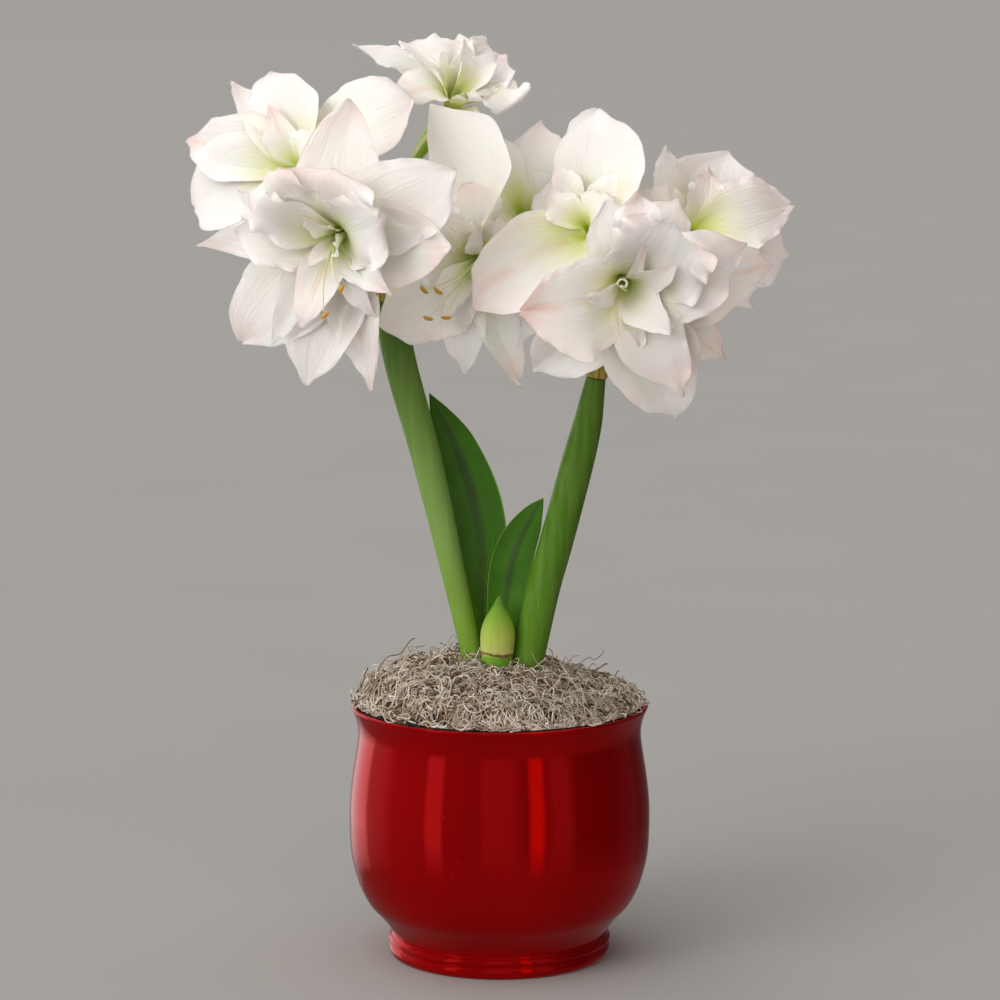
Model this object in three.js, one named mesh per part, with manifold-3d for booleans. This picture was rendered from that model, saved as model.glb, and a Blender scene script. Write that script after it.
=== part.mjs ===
// Double-flowered amaryllis (Hippeastrum) growing in a glazed ceramic pot.
// Millimetres, +Z up, the front faces -Y. The origin is the centre of the pot's flat foot.
import * as THREE from 'three';
import { mergeVertices } from 'three/addons/utils/BufferGeometryUtils.js';
import Module from 'manifold-3d';

const wasm = await Module();
wasm.setup();

// ---- driving dimensions -------------------------------------------------------------------
const GAP = 0.3; // clearance between two pieces that touch
const POT_SIDES = 30;
const POT_RIM_Z = 178.8;
const SOIL_TOP_Z = 170;
const BULB_TOP_Z = 198;
const BULB_SIDES = 14;
const MOSS_TOP_Z = 211;
const MOSS_RADIUS = 97.5;
const SCAPE_SIDES = 12;
const PEDICEL_RADIUS = 2.6; // pedicels stand four to a stalk
const PEDICEL_OFFSET = 3.2; // from the stalk's axis to a pedicel's, along two axes
const OVARY_RADIUS = 5.4;
const PETAL_THICKNESS = 1.3; // at the midrib, tapering to the margins
const LEAF_THICKNESS = 2.6;
const CORE_RADIUS = 9; // fleshy tube in which the petals of a bloom are rooted
const CORE_DEPTH = 20; // from the throat back to the ovary
const CORE_TOP = 8; // from the throat forward to the end of the tube
const WALL_REACH = 12; // a petal begins to bend this far from its neighbour's territory
const WALL_FLOOR = 1.1; // and comes no closer to the boundary than this
const LAYER_STEP = 0.9; // extra room for each petal that lies on another at a boundary
const TERRITORY_CENTRE = new THREE.Vector3(0, -20, 510);

const vec = (x, y, z) => new THREE.Vector3(x, y, z);
const UP = vec(0, 0, 1);
const FRONT = vec(0, -1, 0);

// ---- materials ----------------------------------------------------------------------------
const finish = (color, roughness) =>
  new THREE.MeshStandardMaterial({ color, roughness, metalness: 0 });
const MATERIALS = {
  glaze: finish('#a01018', 0.12),
  soil: finish('#3a2a20', 0.95),
  moss: finish('#a39585', 0.95),
  bulb: finish('#8a5a34', 0.7),
  stalk: finish('#5f8f3c', 0.45),
  leaf: finish('#2f6a2c', 0.4),
  bud: finish('#b9cf6a', 0.45),
  bract: finish('#b8983f', 0.8),
  petal: finish('#fbf6f0', 0.5),
};

// ---- solids -------------------------------------------------------------------------------
const root = new THREE.Group();

function addNode(name, geometry, material) {
  const mesh = new THREE.Mesh(geometry, material);
  mesh.name = name;
  root.add(mesh);
}

function toSolid(geometry) {
  return new wasm.Manifold(
    new wasm.Mesh({
      numProp: 3,
      vertProperties: new Float32Array(geometry.attributes.position.array),
      triVerts: new Uint32Array(geometry.index.array),
    }),
  );
}

function toGeometry(solid) {
  const mesh = solid.getMesh();
  const geometry = new THREE.BufferGeometry();
  geometry.setAttribute('position', new THREE.BufferAttribute(mesh.vertProperties.slice(), 3));
  geometry.setIndex(new THREE.BufferAttribute(mesh.triVerts.slice(), 1));
  return geometry;
}

// The largest body of a solid: cut-off scraps and sealed hollows are left out.
function largestBody(solid) {
  const bodies = solid.decompose();
  return bodies.reduce((best, body) => (body.volume() > best.volume() ? body : best));
}

// Vertices at one place become one, and the triangles that this leaves without area go.
function welded(geometry) {
  const bare = geometry.clone();
  bare.deleteAttribute('normal');
  bare.deleteAttribute('uv');
  const merged = mergeVertices(bare, 1e-4);
  const corners = merged.index.array;
  const index = [];
  for (let n = 0; n < corners.length; n += 3) {
    const [a, b, c] = corners.slice(n, n + 3);
    if (a !== b && b !== c && c !== a) index.push(a, b, c);
  }
  return closedGeometry(Array.from(merged.attributes.position.array), index);
}

// Turns a profile of radii and heights round the Z axis.
function lathe(profile, sides) {
  return welded(new THREE.LatheGeometry(profile, sides).rotateX(Math.PI / 2));
}

function spline2(points, steps) {
  return new THREE.SplineCurve(points.map(([r, z]) => new THREE.Vector2(r, z))).getPoints(steps);
}

const flat = (points) => points.map(([r, z]) => new THREE.Vector2(r, z));

// A closed tube whose elliptical section changes along a path. section(t) gives its two radii.
// It is cut off level at the height floor.
function taperedTube(path, rings, sides, section, floor = 0) {
  const sideways = vec(1, 0, 0);
  const positions = [];
  const index = [];
  for (let i = 0; i <= rings; i++) {
    const t = i / rings;
    const centre = path.getPointAt(t);
    const tangent = path.getTangentAt(t);
    const depth = vec().crossVectors(tangent, sideways).normalize();
    const across = vec().crossVectors(depth, tangent).normalize();
    const [wide, deep] = section(t);
    for (let k = 0; k < sides; k++) {
      const angle = (2 * Math.PI * k) / sides;
      const point = centre.clone();
      point.addScaledVector(across, wide * Math.cos(angle));
      point.addScaledVector(depth, deep * Math.sin(angle));
      point.z = Math.max(point.z, floor);
      positions.push(...point.toArray());
    }
  }
  const start = (rings + 1) * sides;
  const foot = path.getPointAt(0);
  foot.z = Math.max(foot.z, floor);
  positions.push(...foot.toArray(), ...path.getPointAt(1).toArray());
  for (let k = 0; k < sides; k++) {
    const next = (k + 1) % sides;
    for (let i = 0; i < rings; i++) {
      const a = i * sides + k;
      const b = i * sides + next;
      index.push(a, a + sides, b, b, a + sides, b + sides);
    }
    index.push(start, k, next, start + 1, rings * sides + next, rings * sides + k);
  }
  return closedGeometry(positions, index);
}

// Builds an indexed geometry and turns it inside out if its faces point inwards.
function closedGeometry(positions, index) {
  let volume = 0;
  const corner = (n) => vec().fromArray(positions, 3 * index[n]);
  for (let n = 0; n < index.length; n += 3) {
    volume += corner(n).dot(corner(n + 1).cross(corner(n + 2)));
  }
  const geometry = new THREE.BufferGeometry();
  geometry.setAttribute('position', new THREE.Float32BufferAttribute(positions, 3));
  geometry.setIndex(volume < 0 ? index.slice().reverse() : index);
  return geometry;
}

// A blade is a lens-shaped solid round a curved middle surface given by surface(t, v), with t
// from its root to its tip and v from -1 to 1 across it. Front and back are split alike, and
// the root is cut off level at the height floor.
function blade(rows, columns, thickness, surface, floor = 0) {
  const last = rows.length - 1;
  const grid = rows.map((t) => columns.map((v) => surface(t, v)));
  const normalAt = (i, j) => {
    const along = grid[Math.min(i + 1, last)][j].clone().sub(grid[Math.max(i - 1, 0)][j]);
    const right = Math.min(j + 1, columns.length - 1);
    const across = grid[i][right].clone().sub(grid[i][Math.max(j - 1, 0)]);
    return along.cross(across).normalize();
  };
  const positions = [];
  const index = [];
  const push = ({ x, y, z }) => positions.push(x, y, Math.max(z, floor)) / 3 - 1;
  const front = [];
  const back = [];
  for (let i = 0; i < last; i++) {
    const half = columns.map((v) => (thickness / 2) * (1 - v * v) * (1 - 0.5 * rows[i]));
    const normals = columns.map((v, j) => normalAt(i, j));
    const at = (j, side) => grid[i][j].clone().addScaledVector(normals[j], side * half[j]);
    front.push(columns.map((v, j) => push(at(j, 1))));
    back.push(columns.map((v, j) => (Math.abs(v) === 1 ? front[i][j] : push(at(j, -1)))));
  }
  const tip = push(grid[last][(columns.length - 1) / 2]);
  for (let j = 0; j < columns.length - 1; j++) {
    for (let i = 0; i < last - 1; i++) {
      const rising = (i + j) % 2 === 0;
      const [a, b, c, d] = [front[i][j], front[i][j + 1], front[i + 1][j + 1], front[i + 1][j]];
      const [e, f, g, h] = [back[i][j], back[i][j + 1], back[i + 1][j + 1], back[i + 1][j]];
      if (rising) index.push(a, b, c, a, c, d, e, g, f, e, h, g);
      else index.push(a, b, d, b, c, d, e, h, f, f, h, g);
    }
    index.push(front[last - 1][j], front[last - 1][j + 1], tip);
    index.push(back[last - 1][j], tip, back[last - 1][j + 1]);
    const rim = [front[0][j], back[0][j], back[0][j + 1], front[0][j + 1]];
    if (rim[0] !== rim[1]) index.push(rim[0], rim[1], rim[2]);
    if (rim[2] !== rim[3]) index.push(rim[0], rim[2], rim[3]);
  }
  return closedGeometry(positions, index);
}

const smooth = (x) => THREE.MathUtils.smoothstep(x, 0, 1);

// ---- pot ----------------------------------------------------------------------------------
// Foot with two grooves, round belly, soft neck and a thin flared lip.
const FOOT_OUTLINE = [[0, 0], [77, 0], [78.2, 6], [76, 8.4], [78.4, 11], [76, 14.6], [77.6, 20]];
const BELLY_OUTLINE = [
  [77.6, 20], [84.3, 28.7], [92, 37.4], [100.4, 54.8], [105, 76], [105.6, 94],
  [103.4, 128], [100, 147], [99, 159], [100.6, 169], [104, 176.6],
];
const INNER_OUTLINE = [
  [98.4, 175], [94, 163], [93.4, 150], [97, 128], [99.4, 94], [98.4, 76], [93, 54], [83, 38], [66, 26],
];
const FLOOR_Z = 20;

function potGeometry() {
  const outside = spline2(BELLY_OUTLINE, 9).slice(1);
  const lip = flat([[103.6, POT_RIM_Z], [100.4, POT_RIM_Z]]);
  const inside = spline2(INNER_OUTLINE, 5);
  const floor = new THREE.Vector2(0, FLOOR_Z);
  return lathe([...flat(FOOT_OUTLINE), ...outside, ...lip, ...inside, floor], POT_SIDES);
}

// Potting mix fills the pot up to SOIL_TOP_Z.
function soilSolid() {
  const wall = spline2(INNER_OUTLINE, 5)
    .filter((point) => point.y < SOIL_TOP_Z)
    .map((point) => new THREE.Vector2(point.x - GAP, point.y + GAP))
    .reverse();
  const top = flat([[94, SOIL_TOP_Z], [0, SOIL_TOP_Z]]);
  return toSolid(lathe([new THREE.Vector2(0, FLOOR_Z + GAP), ...wall, ...top], POT_SIDES));
}

// ---- bulb ---------------------------------------------------------------------------------
const BULB_OUTLINE = [[0, 96], [18, 98], [38, 112], [52, 138], [48, 160], [37, 182], [35, BULB_TOP_Z]];

function bulbGeometry(grow) {
  const wall = flat(BULB_OUTLINE.map(([r, z]) => [r + (r > 0 ? grow : 0), z - grow]));
  const top = new THREE.Vector2(35 + grow, BULB_TOP_Z + grow);
  return lathe([...wall, top, new THREE.Vector2(0, BULB_TOP_Z + grow)], BULB_SIDES);
}

// ---- moss ---------------------------------------------------------------------------------
// A lumpy mound of dried moss from the soil to above the rim, open round the bulb and stems.
const MOSS_OUTLINE = [[97.5, 184], [92, 194], [80, 202], [62, 207.5], [34, 210.5]];

function mossGeometry() {
  const side = flat([[0, SOIL_TOP_Z + GAP], [92, SOIL_TOP_Z + GAP], [93, 173], [MOSS_RADIUS - 3, 178]]);
  const dome = spline2(MOSS_OUTLINE, 4);
  const geometry = lathe([...side, ...dome, new THREE.Vector2(0, MOSS_TOP_Z)], POT_SIDES);
  const position = geometry.attributes.position;
  for (let n = 0; n < position.count; n++) {
    const point = vec().fromBufferAttribute(position, n);
    const lump = Math.sin(point.x / 9) * Math.cos(point.y / 7 + point.x / 19);
    const raised = smooth((point.z - 186) / 12);
    position.setZ(n, point.z + 2 * lump * raised);
  }
  return geometry;
}

// ---- stalks, leaves and bud ---------------------------------------------------------------
const FOOT_Z = BULB_TOP_Z + GAP;
const START_Z = FOOT_Z - 3; // a leaning stalk starts lower and is cut off level at FOOT_Z
const SCAPES = {
  left: {
    path: [[-14.8, 0, START_Z], [-28.2, 0, 253], [-49.5, 0, 347], [-68.3, 0, 417], [-75.7, 0, 461]],
    widths: [[0, 7.4], [0.2, 8], [0.55, 10.2], [0.85, 11.2], [1, 10.8]],
    collar: 12,
  },
  right: {
    path: [
      [16.3, -8, START_Z], [29.9, -5.6, 258], [38.7, -4.2, 290], [47.2, -3, 322], [60, 0, 371],
      [64, 0, 392], [66.7, 0, 407],
    ],
    widths: [[0, 11.5], [0.5, 11.7], [0.74, 11.2], [0.87, 9.7], [1, 6.8]],
    collar: 19,
  },
};
const SCAPE_DEPTH = 0.86; // a scape is slightly flattened from front to back

function between(table, t) {
  const next = Math.max(1, table.findIndex(([at]) => at >= t));
  const [before, from, to, after] = [-2, -1, 0, 1].map(
    (step) => table[THREE.MathUtils.clamp(next + step, 0, table.length - 1)],
  );
  const span = to[0] - from[0];
  const leave = (span * (to[1] - before[1])) / (to[0] - before[0]);
  const arrive = (span * (after[1] - from[1])) / (after[0] - from[0]);
  const u = (t - from[0]) / span;
  const eased = THREE.MathUtils.lerp(from[1], to[1], u * u * (3 - 2 * u));
  return eased + u * (1 - u) * (leave * (1 - u) - arrive * u);
}

const curve = (points) => new THREE.CatmullRomCurve3(points.map((p) => vec(...p)));

function scapeGeometry({ path, widths }, grow = 0) {
  const section = (t) => [between(widths, t) + grow, SCAPE_DEPTH * between(widths, t) + grow];
  return taperedTube(curve(path), 9, SCAPE_SIDES, section, FOOT_Z);
}

// The dried bracts at the top of a scape, from which the pedicels grow.
function collarEnds({ path, collar }) {
  const line = curve(path);
  const way = line.getTangentAt(1);
  const foot = line.getPointAt(1).addScaledVector(way, GAP);
  return { way, foot, top: foot.clone().addScaledVector(way, collar) };
}

function collarGeometry(scape, grow = 0) {
  const { foot, top, way } = collarEnds(scape);
  const footRadius = scape.widths.at(-1)[1];
  const line = new THREE.LineCurve3(
    foot.addScaledVector(way, -grow),
    top.addScaledVector(way, grow),
  );
  const section = (t) => {
    const radius = THREE.MathUtils.lerp(footRadius, 8.4, smooth(t)) + 0.6 * Math.sin(Math.PI * t);
    return [radius + grow, radius + grow];
  };
  return taperedTube(line, 3, 10, section);
}

// Each leaf runs up a curved midrib, and its margins turn towards the front.
const LEAVES = {
  leaf_tall: {
    path: [[-13, 17, START_Z], [-12.5, 18, 255], [-15.5, 20, 306], [-30, 20, 355], [-49, 13, 395.5]],
    widths: [[0, 18], [0.3, 33], [0.58, 39], [0.8, 29], [0.92, 14], [1, 0]],
    cup: 5,
  },
  leaf_short: {
    path: [[2.5, 3, START_Z], [3, 4, 240], [9, 4, 280], [21, 0, 308], [30.6, -4, 324]],
    widths: [[0, 13.5], [0.35, 24], [0.62, 29], [0.8, 23], [0.92, 12], [1, 0]],
    cup: 4,
  },
  leaf_young: {
    path: [[0, 9, START_Z], [-4, 10, 250], [-3.2, 11, 293]],
    widths: [[0, 9], [0.5, 13], [0.85, 8], [1, 0]],
    cup: 3,
  },
};
const LEAF_ROWS = [0, 0.16, 0.32, 0.48, 0.62, 0.76, 0.88, 1];
const WIDE = [-1, -0.5, 0, 0.5, 1];
const NARROW = [-1, 0, 1];

function leafGeometry({ path, widths, cup }) {
  const line = curve(path);
  const surface = (t, v) => {
    const across = vec().crossVectors(FRONT, line.getTangentAt(t)).normalize();
    const point = line.getPointAt(t).addScaledVector(across, (v * between(widths, t)) / 2);
    return point.addScaledVector(FRONT, cup * v * v * Math.min(1, 4 * t, 2 * (1 - t)));
  };
  return blade(LEAF_ROWS, WIDE, LEAF_THICKNESS, surface, FOOT_Z);
}

// The opening that a leaf leaves in the moss.
function leafSlot({ path, widths }) {
  const section = (t) => [between(widths, t) / 2 + 3, 4];
  return taperedTube(curve(path), 6, 12, section, FOOT_Z);
}

// A young flower bud still closed in its spathe.
const BUD = {
  path: [[-2.6, -18, START_Z], [-1.7, -17.5, 222], [-1, -17, 240], [0, -16, 257]],
  widths: [[0, 9.6], [0.2, 10.4], [0.49, 12], [0.62, 11.6], [0.74, 9.3], [0.86, 5.3], [1, 0.8]],
};

function budGeometry(grow = 0) {
  const section = (t) => [between(BUD.widths, t) + grow, 0.85 * between(BUD.widths, t) + grow];
  return taperedTube(curve(BUD.path), 8, 10, section, FOOT_Z);
}

// ---- blooms -------------------------------------------------------------------------------
// A petal is named by the clock angle of its tip seen from in front of its bloom, how far the
// tip reaches out, how far it stands forward of the throat, and its width. Its other terms:
// curl  angle by which the tip turns back        cup    how far the margins turn forward
// keel  fold along the midrib                    twist  turn of the tip about the midrib
// sweep sideways bend of the tip                 skew   how much wider one half is
// ruffle waves of the margin                     blunt  roundness of the tip
const TERMS = { lobe: 0, curl: 20, cup: 10, keel: 0, twist: 0, sweep: 0, skew: 0, blunt: 1.7 };
const outer = (clock, reach, lift, width, terms = {}) =>
  ({ ...TERMS, ruffle: 1.2, inside: false, clock, reach, lift, width, ...terms });
const inner = (clock, reach, lift, width, terms = {}) =>
  ({ ...TERMS, ruffle: 2, inside: true, clock, reach, lift, width, ...terms });

// A bloom's territory is where one of its scores x*a + y*b + z*c + d, taken from
// TERRITORY_CENTRE, is the highest of all blooms'. A petal with a lobe number uses that score.
const BLOOMS = {
  left_front: {
    heart: [-103, -75, 512],
    facing: [-0.3, -0.94, -0.16],
    territory: [[-251, -191, -22, -12050], [-151, -118, 17, -3960]],
    stalk: { scape: 'left', corner: [-1, -1] },
    petals: [
      outer(9, 94, 4, 64, { curl: 25, cup: 18, keel: 8, blunt: 1.6 }),
      outer(62, 94, 4, 62, { lobe: 1, curl: 35, cup: -8, blunt: 3 }),
      outer(99, 80, 12, 62, { lobe: 1, curl: 30, cup: 20, sweep: -8, blunt: 2.2 }),
      outer(168, 108, 2, 46, { curl: 15, cup: 25, keel: 12, sweep: 8, skew: -0.2, blunt: 1.3 }),
      outer(196, 110, 10, 66, { cup: 20, keel: 6, blunt: 1.5 }),
      outer(225, 114, 4, 62, { curl: 25, cup: 15, sweep: 2, blunt: 2.4 }),
      outer(212, 98, -8, 44, { cup: 20 }),
      outer(268, 110, -4, 40, { curl: -10, cup: 30, sweep: -6, blunt: 1.4 }),
      inner(14, 55, 44, 70, { curl: 50, cup: 5, ruffle: 3, blunt: 5 }),
      inner(66, 48, 38, 52, { lobe: 1, curl: 65, cup: 5, ruffle: 4, blunt: 5 }),
      inner(324, 62, 42, 44, { curl: 60, cup: 15, ruffle: 3.5, blunt: 3 }),
      inner(303, 62, 40, 34, { curl: 60, ruffle: 3, blunt: 2 }),
      inner(275, 66, 38, 42, { curl: 40, cup: 20, keel: 4 }),
      inner(197, 58, 44, 32, { cup: 20, keel: 6, ruffle: 1 }),
      inner(213, 86, 20, 28, { cup: 40, keel: 6, ruffle: 1 }),
      inner(121, 57, 44, 30, { curl: 15, cup: 15, keel: 4, ruffle: 1, blunt: 1.4 }),
      inner(152, 60, 26, 24, { curl: 10, cup: 60, keel: 4, ruffle: 1 }),
    ],
  },
  left_side: {
    heart: [-136, -12, 552],
    facing: [-0.44, -0.83, 0.35],
    territory: [[-264, -35, 50, -11660], [-164, -78, 85, -5130]],
    stalk: { scape: 'left', corner: [-1, 1] },
    petals: [
      outer(342, 76, 4, 62, { cup: 12, keel: 4, sweep: -12, skew: 0.15, blunt: 2.1 }),
      outer(312, 92, -6, 40, { curl: 10, cup: 15, blunt: 1.4 }),
      outer(280, 96, 2, 54, { curl: 15, cup: 18, keel: 6, blunt: 1.8 }),
      outer(262, 84, -2, 50, { curl: 15, cup: 20 }),
      outer(250, 89, -4, 70, { curl: 30, cup: 20, blunt: 4 }),
      outer(54, 96, -9, 62, { lobe: 1, curl: 80, cup: -25, sweep: 8, blunt: 3 }),
      inner(334, 40, 22, 26, { curl: 15, cup: 15, ruffle: 1, blunt: 1.4 }),
      outer(118, 60, -4, 44),
      outer(185, 72, -4, 50),
    ],
  },
  left_top: {
    heart: [-31, 18, 598],
    facing: [0.45, -0.6, 0.66],
    territory: [[17, 178, 59, 4340], [27, 154, 45, 5330]],
    stalk: { scape: 'left', corner: [1, 1] },
    petals: [
      outer(328, 82, -26, 36, { curl: 40, cup: 30, blunt: 1.5 }),
      outer(331, 54, 2, 46, { curl: 30, cup: 12, keel: 10, skew: -0.1, blunt: 1.8 }),
      outer(14, 42, 22, 28, { curl: 10, cup: 20, twist: 55, ruffle: 2, blunt: 2 }),
      outer(62, 36, 26, 44, { curl: 40, cup: 30, ruffle: 3, blunt: 4 }),
      outer(166, 44, 22, 56, { curl: 50, cup: 15, ruffle: 3, blunt: 5 }),
      outer(200, 58, -8, 54, { lobe: 1, curl: 40, cup: 10 }),
      outer(285, 48, -14, 40, { curl: 40, cup: 20 }),
      outer(20, 40, 4, 40, { curl: 40, cup: 15 }),
    ],
  },
  left_inner: {
    heart: [-13, -24, 492],
    facing: [-0.25, -0.93, -0.27],
    territory: [[9, 24, -49, 8140], [14, -18, -14, 7210], [-49, -17, 29, 6520]],
    stalk: { scape: 'left', corner: [1, -1] },
    petals: [
      outer(240, 84, 22, 70, { cup: 15, blunt: 2.6 }),
      outer(190, 82, 10, 36, { curl: 25, cup: 30, keel: 8 }),
      outer(168, 96, 8, 40, { cup: 50, keel: 6, twist: 50, sweep: -6, blunt: 1.5 }),
      outer(336, 54, 18, 30, { lobe: 1, curl: 60, cup: 15, ruffle: 3, blunt: 3 }),
      outer(340, 104, -42, 70, { lobe: 2, curl: 5, cup: 12, keel: 6, skew: 0.55, blunt: 3 }),
      outer(357, 50, -8, 50, { lobe: 1, curl: 40, cup: 20, ruffle: 3, blunt: 5 }),
      outer(290, 60, 0, 50, { curl: 30, cup: 20 }),
      outer(105, 36, -12, 36, { curl: 30 }),
      outer(50, 40, -6, 36, { curl: 30 }),
      inner(190, 46, 24, 18, { cup: 30, ruffle: 1 }),
    ],
  },
  right_front: {
    heart: [82, -75, 482],
    facing: [0.1, -0.93, -0.34],
    territory: [[194, -131, -118, -7550], [101, -108, -99, -680]],
    stalk: { scape: 'right', corner: [1, -1] },
    petals: [
      outer(158, 116, 4, 70, { cup: 22, keel: 8, blunt: 1.5 }),
      outer(222, 90, 6, 64, { lobe: 1, cup: 12, keel: 10, blunt: 2.2 }),
      outer(128, 92, 8, 52, { curl: 15, cup: 35, keel: 16, blunt: 1.6 }),
      outer(84, 106, -2, 62, { curl: 30, cup: 15, blunt: 1.8 }),
      outer(343, 68, 16, 38, { curl: 40, blunt: 4 }),
      outer(30, 68, 2, 60, { curl: 40 }),
      inner(264, 74, 30, 76, { lobe: 1, curl: 25, cup: 15, keel: 4, ruffle: 2.5 }),
      inner(2, 76, 32, 36, { curl: 60, ruffle: 4, blunt: 3 }),
      inner(27, 60, 32, 72, { curl: 70, ruffle: 3.5, blunt: 6 }),
      inner(72, 82, 26, 66, { curl: 30, keel: 4, sweep: -12, blunt: 2.4 }),
      inner(150, 82, 26, 50, { cup: 20, keel: 5, ruffle: 1.5 }),
      inner(44, 40, 44, 24, { cup: 25, ruffle: 1, blunt: 1.6 }),
      inner(126, 34, 44, 32, { cup: 20, ruffle: 1, blunt: 1.3 }),
      inner(10, 46, 38, 9, { curl: 0, cup: 15, ruffle: 0.3 }),
      inner(26, 46, 34, 24, { blunt: 3 }),
      inner(165, 42, 30, 18, { cup: 40, ruffle: 1 }),
    ],
  },
  right_side: {
    heart: [130, -8, 508],
    facing: [0.42, -0.86, 0.28],
    territory: [[300, 178, 17, -10540]],
    stalk: { scape: 'right', corner: [1, 1] },
    petals: [
      outer(28, 66, 6, 76, { curl: 15, cup: 15, keel: 8, sweep: 6, blunt: 1.6 }),
      outer(104, 78, 2, 66, { curl: 25, cup: 12, blunt: 2.8 }),
      outer(143, 68, -4, 56, { cup: 15 }),
      outer(71, 66, -10, 40, { curl: 10, cup: 20 }),
      outer(353, 62, -10, 40, { curl: 10, cup: 20 }),
      inner(80, 72, 20, 54, { curl: 25, cup: 12, ruffle: 1.5 }),
      outer(290, 56, -4, 44, { curl: 30 }),
      outer(200, 62, -4, 48, { curl: 30 }),
      inner(10, 40, 22, 30, { curl: 30, cup: 15 }),
    ],
  },
  right_back: {
    heart: [17, 10, 519],
    facing: [-0.1, -0.75, 0.65],
    territory: [[49, 167, 25, 6790]],
    stalk: { scape: 'right', corner: [-1, 1] },
    petals: [
      outer(8, 62, 22, 50, { curl: 10, cup: 8, blunt: 3 }),
      outer(311, 36, 48, 38, { curl: 20, cup: 15, blunt: 1.8 }),
      outer(76, 58, -12, 44, { curl: 40 }),
      outer(130, 44, -8, 40, { curl: 30, cup: 12 }),
      outer(190, 40, -8, 40, { curl: 30 }),
      outer(255, 46, -8, 40, { curl: 30, cup: 12 }),
      inner(60, 34, 20, 26, { curl: 40, cup: 15 }),
    ],
  },
  right_inner: {
    heart: [60, -24, 512],
    facing: [-0.42, -0.82, 0.37],
    territory: [[113, 50, 25, 6650], [56, -55, -50, 6570]],
    stalk: { scape: 'right', corner: [-1, -1] },
    petals: [
      outer(3, 88, 0, 76, { cup: 15, keel: 6, sweep: -14, skew: 0.25, blunt: 2.6 }),
      outer(305, 56, 0, 48, { curl: 25, cup: 12 }),
      outer(219, 94, 38, 84, { lobe: 1, curl: 25, cup: 8, keel: 8, skew: -0.12, blunt: 2.4 }),
      outer(205, 94, -6, 50, { lobe: 1 }),
      outer(60, 56, -4, 50),
      outer(130, 56, -4, 50),
    ],
  },
};

const OUTER_ROOT = [[3, -14], [9, 14]]; // radius and depth of the first two control points
const INNER_ROOT = [[2, -8], [4, 20]];
const CLAW = 0.16; // width of a petal's root against its greatest width
const OVERLAP = 4; // of two neighbours, one lies this far ahead and the other behind
const RUFFLE_WAVES = 2.6;

function bloomFrame({ heart, facing }) {
  const forward = vec(...facing).normalize();
  const up = UP.clone().addScaledVector(forward, -UP.dot(forward)).normalize();
  return { throat: vec(...heart), forward, up, right: vec().crossVectors(up, forward) };
}

// The middle surface of a petal.
function petalSurface(bloom, petal, number) {
  const { throat, forward, up, right } = bloomFrame(bloom);
  const clock = THREE.MathUtils.degToRad(petal.clock);
  const outward = up.clone().multiplyScalar(Math.cos(clock)).addScaledVector(right, Math.sin(clock));
  const side = vec().crossVectors(outward, forward);
  const curl = THREE.MathUtils.degToRad(petal.curl);
  const [start, rise] = petal.inside ? INNER_ROOT : OUTER_ROOT;
  const bend = 0.45 * petal.reach;
  const whorl = bloom.petals.filter(({ inside }) => inside === petal.inside);
  const rank = whorl.sort((one, other) => one.clock - other.clock).indexOf(petal);
  const ahead = rank % 2 ? OVERLAP : -OVERLAP;
  const midrib = new THREE.CubicBezierCurve(
    new THREE.Vector2(...start),
    new THREE.Vector2(...rise),
    new THREE.Vector2(petal.reach - bend * Math.cos(curl), petal.lift + bend * Math.sin(curl)),
    new THREE.Vector2(petal.reach, petal.lift),
  );
  return (t, v) => {
    const middle = midrib.getPoint(t);
    const along = midrib.getTangent(t);
    const past = Math.max(0, (t - 0.5) / 0.5);
    const profile = (CLAW + (1 - CLAW) * smooth(t / 0.52)) * (1 - past ** petal.blunt) ** 0.9;
    const skew = 1 + petal.skew * Math.sign(v) * smooth(t / 0.4);
    const half = (petal.width / 2) * profile * skew + 0.35;
    const closing = (1 - t) ** 2;
    const cup = THREE.MathUtils.degToRad(75 * closing + petal.cup * (1 - closing)) || 1e-3;
    const keel = Math.tan(THREE.MathUtils.degToRad(petal.keel)) * (Math.sqrt(v * v + 0.01) - 0.1);
    const wave = Math.sin(2 * Math.PI * (RUFFLE_WAVES * t + 0.13 * number) + 1.1 * Math.sign(v));
    const ruffle = petal.ruffle * smooth((t - 0.2) / 0.4) * Math.abs(v) ** 3 * wave;
    const sideways = (half * Math.sin(cup * v)) / cup;
    const raised = (half * (1 - Math.cos(cup * v))) / cup + keel * half + ruffle;
    const twist = THREE.MathUtils.degToRad(petal.twist) * smooth(t);
    const across = sideways * Math.cos(twist) - raised * Math.sin(twist) + petal.sweep * t * t;
    const lifted = sideways * Math.sin(twist) + raised * Math.cos(twist);
    const depth = middle.y + lifted * along.x + ahead * Math.sin(Math.PI * t ** 0.8);
    const point = throat.clone().addScaledVector(outward, middle.x - lifted * along.y);
    return point.addScaledVector(forward, depth).addScaledVector(side, across);
  };
}

// Bends a point of a petal back from the territories of the other blooms.
function keptInside(point, name, petal, layer) {
  const own = BLOOMS[name].territory[petal.lobe];
  for (const [other, { territory }] of Object.entries(BLOOMS)) {
    if (other === name) continue;
    for (const score of territory) {
      const [a, b, c, d] = own.map((value, n) => value - score[n]);
      const away = vec(a, b, c);
      const slope = away.length();
      away.divideScalar(slope);
      const distance = point.clone().sub(TERRITORY_CENTRE).dot(away) + d / slope;
      if (distance >= WALL_REACH) continue;
      const floor = WALL_FLOOR + LAYER_STEP * layer;
      const room = WALL_REACH - floor;
      const kept = floor + room * Math.exp((distance - WALL_REACH) / room);
      point.addScaledVector(away, kept - distance);
    }
  }
  return point;
}

const LONG_ROWS = [0, 0.3, 0.6, 0.85, 1];
const SHORT_ROWS = [0, 0.35, 0.72, 1];
const LAYERS = 6;

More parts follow.
